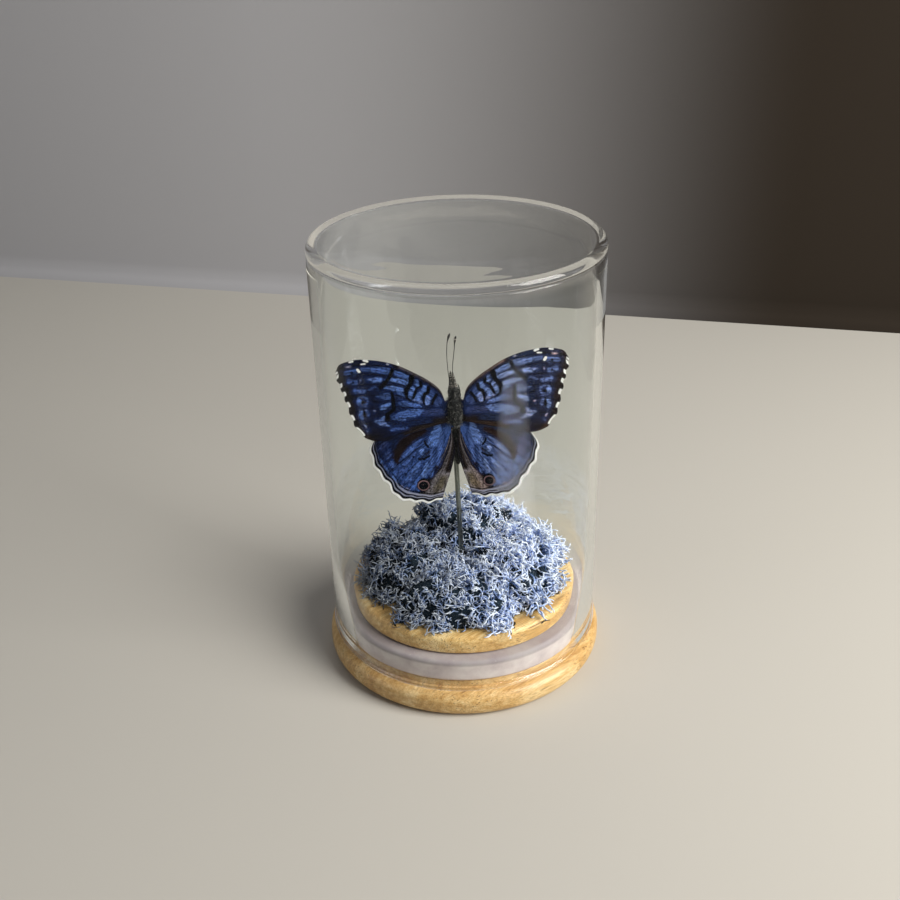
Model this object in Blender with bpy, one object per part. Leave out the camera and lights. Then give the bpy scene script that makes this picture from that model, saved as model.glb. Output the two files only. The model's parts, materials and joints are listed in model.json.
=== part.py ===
"""A set butterfly on a rod over dyed moss, under an upturned glass jar on a turned bamboo lid.

Metres, +Z up. The origin is the middle of the lid's underside, and the butterfly shows its back to -Y.
Measures below are in millimetres times MM.
"""

import math

import bmesh
import bpy
from mathutils import Matrix, Vector, noise

MM = 0.001
GAP = 0.3 * MM
TURNED_SIDES = 48

JAR_RADIUS = 32.5 * MM
JAR_WALL = 1.8 * MM
JAR_TOP = 106.0 * MM
JAR_SHOULDER = 4.2 * MM
JAR_DISH = 0.8 * MM
JAR_CEILING = 2.2 * MM

FOOT_RADIUS = 34.0 * MM
FOOT_HEIGHT = 6.0 * MM
FOOT_EDGE = 2.4 * MM
PLUG_RADIUS = 27.9 * MM
PLUG_BOTTOM = 14.1 * MM
PLUG_TOP = 18.5 * MM
PLUG_EDGE = 1.4 * MM
GROOVE_RADIUS = 26.0 * MM
SEAL_RADIUS = JAR_RADIUS - JAR_WALL - GAP
SEAL_EDGE = 0.9 * MM

ROD_RADIUS = 0.6 * MM
ROD_LEAN = math.radians(1.75)
ROD_TOP = 62.5 * MM
ROD_HOLE_RADIUS = 1.2 * MM
ROD_HOLE_BOTTOM = 8.0 * MM
ROD_PIVOT = 13.0 * MM

BUTTERFLY_PLACE = (-1.05 * MM, -2.65 * MM, 63.6 * MM)
BUTTERFLY_LEAN = math.radians(1.8)
BODY_SIDES = 14
# Height along the body, half its width, half its depth, and how far its middle stands to the front.
BODY_STATIONS = (
    (-13.7, 0.25, 0.20, -1.15),
    (-13.1, 0.55, 0.48, -1.15),
    (-11.3, 0.85, 0.75, -1.15),
    (-8.5, 1.00, 0.85, -1.15),
    (-5.6, 1.00, 0.85, -1.15),
    (-4.1, 0.90, 0.80, -1.10),
    (-3.2, 0.95, 0.90, -0.95),
    (-2.2, 1.35, 1.40, -0.30),
    (-0.4, 1.70, 1.70, 0.00),
    (2.2, 1.75, 1.75, 0.00),
    (3.8, 1.45, 1.45, 0.05),
    (4.6, 0.95, 0.95, 0.10),
    (5.6, 1.05, 0.95, 0.10),
    (6.7, 0.80, 0.75, 0.10),
    (7.3, 0.30, 0.30, 0.10),
)
EYE_RADIUS = 0.62 * MM
EYES = ((-0.85, 6.0, 0.2), (0.95, 5.0, 0.2))
PALP_RADII = (0.45, 0.50, 0.42, 0.22)
PALPS = (
    ((-0.35, 6.0, 0.2), (-0.55, 7.6, 0.1), (-0.68, 9.6, 0.0), (-0.70, 11.2, -0.1)),
    ((0.35, 6.0, 0.2), (0.28, 7.6, 0.1), (0.16, 9.6, 0.0), (0.11, 11.1, -0.1)),
)
ANTENNA_RADII = (0.12, 0.12, 0.12, 0.12, 0.13, 0.18, 0.30, 0.20)
ANTENNAE = (
    (
        (-0.35, 6.5, 0.5),
        (-0.90, 9.0, 0.6),
        (-1.12, 12.0, 0.4),
        (-1.17, 14.9, 0.3),
        (-0.97, 17.4, 0.2),
        (-0.78, 18.3, 0.2),
        (-0.50, 19.2, 0.2),
        (-0.22, 19.9, 0.2),
    ),
    (
        (0.25, 6.4, 0.5),
        (0.02, 9.0, 0.6),
        (0.00, 12.0, 0.4),
        (0.32, 14.4, 0.3),
        (0.61, 16.3, 0.2),
        (0.72, 17.4, 0.2),
        (0.90, 18.5, 0.2),
        (1.14, 19.2, 0.2),
    ),
)
LEG_RADII = (0.16, 0.18, 0.15, 0.12, 0.08)
# The legs of one side: the front one folded up beside the head, the hind one down beside the abdomen.
LEGS = {
    "front_leg": ((0.7, 2.6, -1.0), (1.35, 4.0, -0.9), (1.70, 5.6, -0.6), (1.70, 7.2, -0.5), (1.60, 8.4, -0.4)),
    "hind_leg": ((0.7, 0.6, -1.1), (1.5, 0.0, -1.4), (1.95, -1.4, -1.3), (1.7, -3.8, -1.3), (1.4, -6.2, -1.5)),
}

WING_THICKNESS = 0.3 * MM
WING_BOW = 0.5 * MM
WING_SPAN = 27.0 * MM
WING_RINGS = (1.0, 0.7, 0.36)
MARGIN_STEPS = 4
FOREWING_DEPTH = 0.90 * MM
FOREWING_HUB = (3.0, 1.4)
FOREWING_TEETH = 7
FOREWING_SCALLOP = 0.4
FOREWING_FRONT = (
    (2.15, 4.1),
    (3.2, 7.0),
    (5.7, 9.5),
    (9.2, 11.8),
    (12.1, 13.4),
    (15.2, 14.5),
    (18.2, 15.1),
    (21.5, 15.3),
    (24.8, 14.5),
    (26.2, 13.3),
)
FOREWING_MARGIN = ((26.2, 13.3), (26.6, 11.0), (25.5, 7.4), (24.3, 2.6), (23.4, -0.8), (21.6, -3.7), (20.0, -4.9))
FOREWING_BACK = ((20.0, -4.9), (18.0, -5.2), (14.6, -4.9), (9.1, -3.1), (2.3, -1.4))
HINDWING_DEPTH = 0.25 * MM
HINDWING_HUB = (2.9, -4.8)
HINDWING_TEETH = 8
HINDWING_SCALLOP = 0.5
HINDWING_FRONT = ((1.95, -3.0), (5.0, -1.2), (10.5, -1.0), (15.8, -2.6), (18.9, -4.9))
HINDWING_MARGIN = (
    (18.9, -4.9),
    (20.5, -7.4),
    (20.3, -11.4),
    (18.9, -14.8),
    (16.9, -18.0),
    (15.6, -20.6),
    (13.2, -22.0),
    (10.4, -22.6),
    (7.6, -23.0),
    (4.3, -22.2),
)
HINDWING_BACK = ((4.3, -22.2), (3.0, -18.2), (1.6, -14.0), (0.75, -10.5), (0.45, -7.4), (0.75, -5.2), (1.5, -3.9))
# The right wings are set a little higher and a little nearer the body than the left ones.
FOREWING_TURN = {"left": 0.0, "right": math.radians(1.8)}
HINDWING_TURN = {"left": 0.0, "right": math.radians(-3.0)}
HINDWING_SIZE = {"left": 1.0, "right": 0.95}

MOSS_BASE = PLUG_TOP + GAP
MOSS_HEART = (-0.3 * MM, 0.0)
MOSS_HEART_DISTANCE = 14.0 * MM
MOSS_CREVICE = 0.45 * MM
MOSS_LUMP = 0.09
MOSS_LUMP_SIZE = 5.0 * MM
MOSS_SIDES = 26
MOSS_LEVELS = 8
# Bearing of a tuft's middle from the rod, how far it reaches from the axis, and its height.
MOSS_TUFTS = {
    "moss_tuft_left": (math.radians(186), 27.6 * MM, 10.4 * MM),
    "moss_tuft_front": (math.radians(262), 27.8 * MM, 9.6 * MM),
    "moss_tuft_right": (math.radians(-14), 26.7 * MM, 11.0 * MM),
    "moss_tuft_back": (math.radians(84), 25.6 * MM, 14.2 * MM),
}

BAMBOO = ((0.62, 0.40, 0.17), 0.45, 0.0)
SILICONE = ((0.50, 0.43, 0.45), 0.35, 0.0)
STEEL = ((0.45, 0.47, 0.43), 0.25, 1.0)
MOSS_BLUE = ((0.30, 0.36, 0.58), 0.9, 0.0)
BODY_BLACK = ((0.03, 0.032, 0.03), 0.8, 0.0)
WING_BLUE = ((0.04, 0.08, 0.33), 0.6, 0.0)


def clear_scene():
    for thing in list(bpy.data.objects):
        bpy.data.objects.remove(thing, do_unlink=True)


def finish(name, look):
    """A material of one colour, with its roughness and metallic value."""
    colour, roughness, metallic = look
    material = bpy.data.materials.new(name)
    material.use_nodes = True
    shader = material.node_tree.nodes["Principled BSDF"]
    shader.inputs["Base Color"].default_value = (*colour, 1.0)
    shader.inputs["Roughness"].default_value = roughness
    shader.inputs["Metallic"].default_value = metallic
    return material


def glass_finish():
    material = finish("clear_glass", ((0.95, 0.97, 0.96), 0.02, 0.0))
    shader = material.node_tree.nodes["Principled BSDF"]
    shader.inputs["Transmission Weight"].default_value = 1.0
    shader.inputs["IOR"].default_value = 1.5
    return material


def add_object(name, shape, material, parent=None):
    """Turns the bmesh into an object of this name, with its faces out."""
    bmesh.ops.recalc_face_normals(shape, faces=shape.faces)
    mesh = bpy.data.meshes.new(name)
    shape.to_mesh(mesh)
    shape.free()
    mesh.shade_smooth()
    mesh.set_sharp_from_angle(angle=math.radians(40))
    mesh.materials.append(material)
    made = bpy.data.objects.new(name, mesh)
    bpy.context.scene.collection.objects.link(made)
    made.parent = parent
    return made


def arc(middle, radius, start, end, steps):
    """Points of a round stretch of a profile, from one angle in degrees to another."""
    angles = [math.radians(start + (end - start) * step / steps) for step in range(steps + 1)]
    return [(middle[0] + radius * math.cos(a), middle[1] + radius * math.sin(a)) for a in angles]


def turned(name, profile, material, closed=False):
    """Turns a profile of (radius, height) points about the axis."""
    shape = bmesh.new()
    points = [shape.verts.new((radius, 0.0, height)) for radius, height in profile]
    ends = points[1:] + points[:1] if closed else points[1:]
    edges = [shape.edges.new(pair) for pair in zip(points, ends)]
    bmesh.ops.spin(
        shape, geom=points + edges, axis=(0, 0, 1), angle=math.tau, steps=TURNED_SIDES, use_merge=True
    )
    bmesh.ops.remove_doubles(shape, verts=shape.verts, dist=1e-6)
    return add_object(name, shape, material)


def bamboo_base():
    foot_middle = FOOT_RADIUS - FOOT_EDGE
    upper_edge = PLUG_RADIUS - PLUG_EDGE
    profile = [(0.0, 0.0)]
    profile += arc((foot_middle, FOOT_EDGE), FOOT_EDGE, -90, 0, 4)
    profile += arc((foot_middle, FOOT_HEIGHT - FOOT_EDGE), FOOT_EDGE, 0, 90, 4)
    profile += [(GROOVE_RADIUS, FOOT_HEIGHT), (GROOVE_RADIUS, PLUG_BOTTOM)]
    profile += [(PLUG_RADIUS - 0.5 * MM, PLUG_BOTTOM), (PLUG_RADIUS, PLUG_BOTTOM + 0.5 * MM)]
    profile += arc((upper_edge, PLUG_TOP - PLUG_EDGE), PLUG_EDGE, 0, 90, 3)
    profile += [(ROD_HOLE_RADIUS, PLUG_TOP), (ROD_HOLE_RADIUS, ROD_HOLE_BOTTOM), (0.0, ROD_HOLE_BOTTOM)]
    return turned("bamboo_base", profile, finish("bamboo", BAMBOO))


def seal_ring():
    inner, outer = GROOVE_RADIUS + GAP, SEAL_RADIUS
    low, high = FOOT_HEIGHT + GAP, PLUG_BOTTOM - GAP
    profile = [(inner, high), (inner, low)]
    profile += arc((outer - SEAL_EDGE, low + SEAL_EDGE), SEAL_EDGE, -90, 0, 2)
    profile += arc((outer - SEAL_EDGE, high - SEAL_EDGE), SEAL_EDGE, 0, 90, 2)
    return turned("seal_ring", profile, finish("silicone", SILICONE), closed=True)


def glass_dome():
    """The jar stands on its mouth: a round lip, straight walls, a round shoulder and a dished top."""
    bore = JAR_RADIUS - JAR_WALL
    lip = FOOT_HEIGHT + GAP + JAR_WALL / 2
    flat = JAR_RADIUS - JAR_SHOULDER
    inner_shoulder = JAR_SHOULDER - JAR_WALL / 2
    ceiling = JAR_TOP - JAR_DISH - JAR_CEILING
    profile = [(0.0, ceiling), (flat * 0.7, ceiling + JAR_DISH / 4)]
    profile += arc((bore - inner_shoulder, ceiling - inner_shoulder + JAR_DISH / 2), inner_shoulder, 90, 0, 4)
    profile += arc((bore + JAR_WALL / 2, lip), JAR_WALL / 2, 180, 360, 4)
    profile += arc((flat, JAR_TOP - JAR_SHOULDER), JAR_SHOULDER, 0, 90, 5)
    profile += [(flat * 0.82, JAR_TOP - JAR_DISH * 0.35), (flat * 0.5, JAR_TOP - JAR_DISH * 0.85)]
    profile += [(0.0, JAR_TOP - JAR_DISH)]
    return turned("glass_dome", profile, glass_finish())


def specimen_rod():
    """A straight rod that stands in the hole of the base and leans a little to the left."""
    low = ROD_HOLE_BOTTOM + GAP
    length = (ROD_TOP - low) / math.cos(ROD_LEAN)
    shape = bmesh.new()
    bmesh.ops.create_cone(
        shape, cap_ends=True, segments=12, radius1=ROD_RADIUS, radius2=ROD_RADIUS, depth=length
    )
    rod = add_object("specimen_rod", shape, finish("steel", STEEL))
    middle = (ROD_TOP + low) / 2
    rod.location = ((ROD_PIVOT - middle) * math.tan(ROD_LEAN), 0.0, middle)
    rod.rotation_euler = (0.0, -ROD_LEAN, 0.0)
    return rod


def in_wing_frame(across, up, front):
    """A point of the butterfly's own frame, given in millimetres across, up and to the front."""
    return Vector((across, -front, up)) * MM


def add_tube(shape, path, radii, sides):
    """A closed tube of changing radius along a path."""
    rings = []
    for index, (centre, radius) in enumerate(zip(path, radii)):
        ahead = path[min(index + 1, len(path) - 1)] - path[max(index - 1, 0)]
        turn = ahead.to_track_quat("Z", "Y")
        spokes = (math.tau * side / sides for side in range(sides))
        ring = [turn @ Vector((math.cos(a) * radius, math.sin(a) * radius, 0.0)) + centre for a in spokes]
        rings.append([shape.verts.new(point) for point in ring])
    for low, high in zip(rings, rings[1:]):
        for side in range(sides):
            after = (side + 1) % sides
            shape.faces.new((low[side], low[after], high[after], high[side]))
    shape.faces.new(reversed(rings[0]))
    shape.faces.new(rings[-1])


def limb(body, name, path, radii, sides):
    """A tube that is fused to the body: a palp, an antenna or a leg."""
    shape = bmesh.new()
    points = [in_wing_frame(*point) for point in path]
    add_tube(shape, points, [radius * MM for radius in radii], sides)
    fuse(body, add_object(name, shape, body.data.materials[0], body.parent))


def fuse(body, cutter):
    cutter.hide_render = True
    cutter.display_type = "WIRE"
    union = body.modifiers.new("fuse_" + cutter.name, "BOOLEAN")
    union.operation = "UNION"
    union.object = cutter


def butterfly_body(parent):
    """Abdomen, thorax and head in one run of oval rings, then eyes, palps, antennae and folded legs."""
    shape = bmesh.new()
    rings = []
    for up, half_width, half_depth, front in BODY_STATIONS:
        spokes = (math.tau * side / BODY_SIDES for side in range(BODY_SIDES))
        ring = [in_wing_frame(math.cos(a) * half_width, up, front - math.sin(a) * half_depth) for a in spokes]
        rings.append([shape.verts.new(point) for point in ring])
    for low, high in zip(rings, rings[1:]):
        for side in range(BODY_SIDES):
            after = (side + 1) % BODY_SIDES
            shape.faces.new((low[side], low[after], high[after], high[side]))
    shape.faces.new(reversed(rings[0]))
    shape.faces.new(rings[-1])
    body = add_object("butterfly_body", shape, finish("body_black", BODY_BLACK), parent)
    for number, place in enumerate(EYES):
        eye = bmesh.new()
        bmesh.ops.create_icosphere(
            eye, subdivisions=2, radius=EYE_RADIUS, matrix=Matrix.Translation(in_wing_frame(*place))
        )
        fuse(body, add_object(f"eye_{number}", eye, body.data.materials[0], parent))
    for number, path in enumerate(PALPS):
        limb(body, f"palp_{number}", path, PALP_RADII, 7)
    for number, path in enumerate(ANTENNAE):
        limb(body, f"antenna_{number}", path, ANTENNA_RADII, 5)
    for name, path in LEGS.items():
        for side, mirror in (("left", -1), ("right", 1)):
            mirrored = [(mirror * across, up, front) for across, up, front in path]
            limb(body, f"{name}_{side}", mirrored, LEG_RADII, 5)
    return body


def smooth_run(points, count):
    """Points at even spacing of parameter along a Catmull-Rom curve, without the last one."""
    knots = [Vector(point) for point in points]
    knots = [knots[0] * 2 - knots[1], *knots, knots[-1] * 2 - knots[-2]]
    spans = len(points) - 1
    run = []
    for step in range(count):
        whole, part = divmod(step * spans / count, 1)
        before, start, end, after = knots[int(whole) : int(whole) + 4]
        bend = (end - before) / 2
        leave = (after - start) / 2
        cubic = (2 * start - 2 * end + bend + leave) * part**3
        square = (3 * end - 3 * start - 2 * bend - leave) * part**2
        run.append(cubic + square + bend * part + start)
    return run


def scalloped(points, teeth, depth):
    """The outer margin: a smooth run that swings in between the ends of the veins."""
    run = smooth_run(points, teeth * MARGIN_STEPS)
    ends = [*run[1:], Vector(points[-1])]
    swung = []
    for step, (point, ahead) in enumerate(zip(run, ends)):
        outward = Vector((point - ahead)).orthogonal().normalized()
        swing = depth * (math.cos(math.tau * step / MARGIN_STEPS) - 1) / 2
        swung.append(point + outward * swing * (0 < step))
    return swung


def wing(name, parent, outline, hub, depth, mirror, turn, size, material):
    """A thin closed wing: rings of the outline drawn in towards its hub, on a gently bowed sheet."""
    shape = bmesh.new()
    centre = Vector(hub)
    spin = Matrix.Rotation(turn, 2)
    sheets = []
    for face in (1, -1):
        rings = []
        for share in (*WING_RINGS, 0.0):
            points = [centre + (point - centre) * share for point in outline]
            placed = []
            for point in points if share else points[:1]:
                across, up = (spin @ point) * size * MM
                bow = WING_BOW * math.sin(math.pi * across / WING_SPAN)
                y = -(depth + bow + face * WING_THICKNESS / 2)
                placed.append(shape.verts.new((mirror * across, y, up)))
            rings.append(placed)
        sheets.append(rings)
    count = len(outline)
    for rings in sheets:
        for outer, inner in zip(rings, rings[1:]):
            for step in range(count):
                after = (step + 1) % count
                corners = [outer[step], outer[after]]
                corners += [inner[after], inner[step]] if len(inner) > 1 else inner
                shape.faces.new(corners)
    front, back = sheets[0][0], sheets[1][0]
    for step in range(count):
        after = (step + 1) % count
        shape.faces.new((front[step], back[step], back[after], front[after]))
    return add_object(name, shape, material, parent)


def wings(parent):
    material = finish("wing_blue", WING_BLUE)
    fore = smooth_run(FOREWING_FRONT, 14)
    fore += scalloped(FOREWING_MARGIN, FOREWING_TEETH, FOREWING_SCALLOP)
    fore += smooth_run(FOREWING_BACK, 6) + [Vector(FOREWING_BACK[-1])]
    hind = smooth_run(HINDWING_FRONT, 6)
    hind += scalloped(HINDWING_MARGIN, HINDWING_TEETH, HINDWING_SCALLOP)
    hind += smooth_run(HINDWING_BACK, 8) + [Vector(HINDWING_BACK[-1])]
    for side, mirror in (("left", -1), ("right", 1)):
        wing(
            f"forewing_{side}", parent, fore, FOREWING_HUB, FOREWING_DEPTH, mirror,
            FOREWING_TURN[side], 1.0, material,
        )
        wing(
            f"hindwing_{side}", parent, hind, HINDWING_HUB, HINDWING_DEPTH, mirror,
            HINDWING_TURN[side], HINDWING_SIZE[side], material,
        )


def tuft_middle(bearing):
    return Vector(MOSS_HEART) + Vector((math.cos(bearing), math.sin(bearing))) * MOSS_HEART_DISTANCE


def tuft_reach(middle, heading, others, reach):
    """How far a tuft goes from its middle: to the crevices between tufts, or to its own outer edge."""
    along = middle.dot(heading)
    limits = [-along + math.sqrt(along**2 + reach**2 - middle.length_squared)]
    for other in others:
        facing = (other - middle).normalized().dot(heading)
        if facing > 0.05:
            limits.append(((other - middle).length / 2 - MOSS_CREVICE) / facing)
    return sum(limit**-8 for limit in limits) ** (-1 / 8)


def moss_tuft(name, bearing, reach, height, material):
    """A lumpy mound with a flat underside, which the curling tips of the moss fill."""
    middle = tuft_middle(bearing)
    others = [tuft_middle(tuft[0]) for tuft in MOSS_TUFTS.values() if tuft[0] != bearing]
    shape = bmesh.new()
    rings = []
    for level in range(MOSS_LEVELS):
        rise = math.pi / 2 * level / MOSS_LEVELS
        ring = []
        for side in range(MOSS_SIDES):
            angle = math.tau * side / MOSS_SIDES
            heading = Vector((math.cos(angle), math.sin(angle)))
            spread = math.cos(rise) ** 0.7 * (0.93 if level == 0 else 1.0)
            flat = middle + heading * tuft_reach(middle, heading, others, reach) * spread
            top = height * math.sin(rise) ** 0.85
            lump = noise.noise(Vector((flat.x, flat.y, top)) / MOSS_LUMP_SIZE)
            flat = middle + (flat - middle) * (1 - MOSS_LUMP * (0.5 + lump) * (level > 0))
            top *= 1 + MOSS_LUMP * lump
            ring.append(shape.verts.new((flat.x, flat.y, MOSS_BASE + top)))
        rings.append(ring)
    for low, high in zip(rings, rings[1:]):
        for side in range(MOSS_SIDES):
            after = (side + 1) % MOSS_SIDES
            shape.faces.new((low[side], low[after], high[after], high[side]))
    tip = shape.verts.new((middle.x, middle.y, MOSS_BASE + height))
    for side in range(MOSS_SIDES):
        shape.faces.new((rings[-1][side], rings[-1][(side + 1) % MOSS_SIDES], tip))
    shape.faces.new(reversed(rings[0]))
    return add_object(name, shape, material)


def main():
    clear_scene()
    bamboo_base()
    seal_ring()
    glass_dome()
    specimen_rod()
    butterfly = bpy.data.objects.new("butterfly", None)
    bpy.context.scene.collection.objects.link(butterfly)
    butterfly.location = BUTTERFLY_PLACE
    butterfly.rotation_euler = (0.0, -BUTTERFLY_LEAN, 0.0)
    butterfly_body(butterfly)
    wings(butterfly)
    moss = finish("moss_blue", MOSS_BLUE)
    for name, (bearing, reach, height) in MOSS_TUFTS.items():
        moss_tuft(name, bearing, reach, height, moss)


main()
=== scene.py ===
"""A set butterfly on a rod over dyed moss, under an upturned glass jar on a turned bamboo lid.

Every size below is in millimetres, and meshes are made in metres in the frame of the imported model:
the origin is the middle of the lid's underside, +Z is up, and the butterfly shows its back to -Y.
"""

import json
import logging
import math
import random
from collections.abc import Callable, Iterable, Sequence
from dataclasses import dataclass, field
from enum import Enum

import bmesh
import bpy
import numpy as np
from mathutils import Matrix, Vector, noise

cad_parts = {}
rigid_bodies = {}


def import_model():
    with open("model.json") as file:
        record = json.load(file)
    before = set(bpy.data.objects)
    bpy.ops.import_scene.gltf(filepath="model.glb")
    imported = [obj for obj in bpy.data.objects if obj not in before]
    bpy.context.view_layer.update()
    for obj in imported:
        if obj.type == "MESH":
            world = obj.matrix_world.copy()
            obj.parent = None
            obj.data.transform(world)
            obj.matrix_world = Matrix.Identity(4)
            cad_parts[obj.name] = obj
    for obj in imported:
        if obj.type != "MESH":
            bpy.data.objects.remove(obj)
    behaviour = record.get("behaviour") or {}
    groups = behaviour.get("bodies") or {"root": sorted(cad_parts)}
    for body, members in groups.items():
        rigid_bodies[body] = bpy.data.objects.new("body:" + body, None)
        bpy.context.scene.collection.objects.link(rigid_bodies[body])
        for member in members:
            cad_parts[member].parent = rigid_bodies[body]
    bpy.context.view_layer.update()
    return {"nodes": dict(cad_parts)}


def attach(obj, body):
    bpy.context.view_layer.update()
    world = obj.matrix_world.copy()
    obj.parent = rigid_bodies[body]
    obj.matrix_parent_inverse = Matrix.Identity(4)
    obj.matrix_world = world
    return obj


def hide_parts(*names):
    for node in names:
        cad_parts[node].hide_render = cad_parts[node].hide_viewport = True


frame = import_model()

LOG = logging.getLogger("glass_dome")
MM = 0.001
ROOT = "root"
OUTSIDE = -3.0
Point2 = tuple[float, float]
Point3 = tuple[float, float, float]
Rgba = tuple[float, float, float, float]
Stops = tuple[tuple[float, str], ...]


class Layer(Enum):
    """The layers of scales that a wing mark can belong to."""

    BLUE = "blue"
    BROWN = "brown"
    DARK = "dark"
    PALE = "pale"
    RING = "ring"
    WHITE = "white"


class Side(Enum):
    """The two sides of the butterfly, with the sign of their across direction."""

    LEFT = -1
    RIGHT = 1


def srgb(code: str) -> Rgba:
    """Turns a hex colour into linear red, green, blue and alpha."""
    parts = [int(code[place : place + 2], 16) / 255 for place in (1, 3, 5)]
    linear = [part / 12.92 if part <= 0.04045 else ((part + 0.055) / 1.055) ** 2.4 for part in parts]
    return (linear[0], linear[1], linear[2], 1.0)


def smooth(value: np.ndarray, low: float, high: float) -> np.ndarray:
    """Carries values smoothly from 0 at low to 1 at high."""
    share = np.clip((np.asarray(value, float) - low) / (high - low), 0, 1)
    return share * share * (3 - 2 * share)


def near(value: np.ndarray, middle: float, width: float) -> np.ndarray:
    """Gives a smooth bump of that half width about a middle."""
    return 1 - smooth(np.abs(np.asarray(value, float) - middle), 0, width)


def run_through(points: Sequence[Sequence[float]], places: np.ndarray) -> np.ndarray:
    """Evaluates a Catmull-Rom curve.

    Args:
        points: The points that the curve passes.
        places: Parameters from 0 to 1.

    Returns:
        One row for each place.
    """
    knots = np.array(points, float)
    spans = len(knots) - 1
    knots = np.vstack([2 * knots[0] - knots[1], knots, 2 * knots[-1] - knots[-2]])
    along = np.clip(np.asarray(places, float) * spans, 0, spans - 1e-9)
    whole = along.astype(int)
    part = (along - whole)[:, None]
    before, start, end, after = (knots[whole + step] for step in range(4))
    leave, arrive = (end - before) / 2, (after - start) / 2
    cubic = (2 * start - 2 * end + leave + arrive) * part**3
    square = (3 * end - 3 * start - 2 * leave - arrive) * part**2
    return cubic + square + leave * part + start


def run_widths(widths: Sequence[float], places: np.ndarray) -> np.ndarray:
    """Evaluates a smooth run of widths."""
    return run_through([(width,) for width in widths], places)[:, 0]


def arc(middle: Point2, radius: float, start: float, end: float, steps: int) -> list[Point2]:
    """Gives the points of a round stretch of a turned profile.

    Args:
        middle: Centre of the arc.
        radius: Its radius.
        start: First angle in degrees.
        end: Last angle in degrees.
        steps: How many pieces it has.

    Returns:
        The points, both ends among them.
    """
    angles = [math.radians(start + (end - start) * step / steps) for step in range(steps + 1)]
    return [(middle[0] + radius * math.cos(a), middle[1] + radius * math.sin(a)) for a in angles]


def stacked_faces(rings: int, sides: int, start: int = 0) -> list[tuple[int, ...]]:
    """Gives the faces of a closed tube made of rings of corners.

    Args:
        rings: How many rings it has.
        sides: How many corners a ring has.
        start: Number of its first corner.

    Returns:
        Corner numbers of each wall face and of both caps.
    """
    faces: list[tuple[int, ...]] = []
    for low in range(start, start + (rings - 1) * sides, sides):
        for step in range(sides):
            after = (step + 1) % sides
            faces.append((low + step, low + after, low + sides + after, low + sides + step))
    last = start + (rings - 1) * sides
    return [*faces, tuple(range(start + sides - 1, start - 1, -1)), tuple(range(last, last + sides))]


def link(name: str, data: bpy.types.ID) -> bpy.types.Object:
    """Puts a mesh, camera or light into the scene at the origin."""
    made = bpy.data.objects.new(name, data)
    bpy.context.scene.collection.objects.link(made)
    return made


def mesh_object(
    name: str, points: np.ndarray, faces: Iterable[Sequence[int]], materials: Sequence[bpy.types.Material]
) -> bpy.types.Object:
    """Makes a smooth mesh object at the origin.

    Args:
        name: Name of the object.
        points: Corner positions in millimetres.
        faces: Corner numbers of each face.
        materials: Its materials, in slot order.

    Returns:
        The linked object.
    """
    mesh = bpy.data.meshes.new(name)
    mesh.from_pydata((np.asarray(points, float) * MM).tolist(), [], list(faces))
    mesh.validate()
    mesh.shade_smooth()
    for material in materials:
        mesh.materials.append(material)
    return link(name, mesh)


def face_outwards(piece: bpy.types.Object) -> None:
    """Turns the faces of a closed mesh outwards."""
    shape = bmesh.new()
    shape.from_mesh(piece.data)
    bmesh.ops.recalc_face_normals(shape, faces=shape.faces)
    shape.to_mesh(piece.data)
    shape.free()


def store_values(piece: bpy.types.Object, name: str, values: np.ndarray) -> None:
    """Writes one number for each point of a mesh as an attribute."""
    layer = piece.data.attributes.new(name, "FLOAT", "POINT")
    layer.data.foreach_set("value", np.asarray(values, np.float32).ravel())


def settle(piece: bpy.types.Object, slot: str, *nodes: str) -> None:
    """Rides a finished piece on the part, hides the solids that it replaces and logs its face count.

    Args:
        piece: The finished piece.
        slot: The record's material slot; not used.
        nodes: The solids that it replaces.
    """
    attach(piece, ROOT)
    if nodes:
        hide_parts(*nodes)
    LOG.info("%s: %d faces", piece.name, len(piece.data.polygons))


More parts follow.
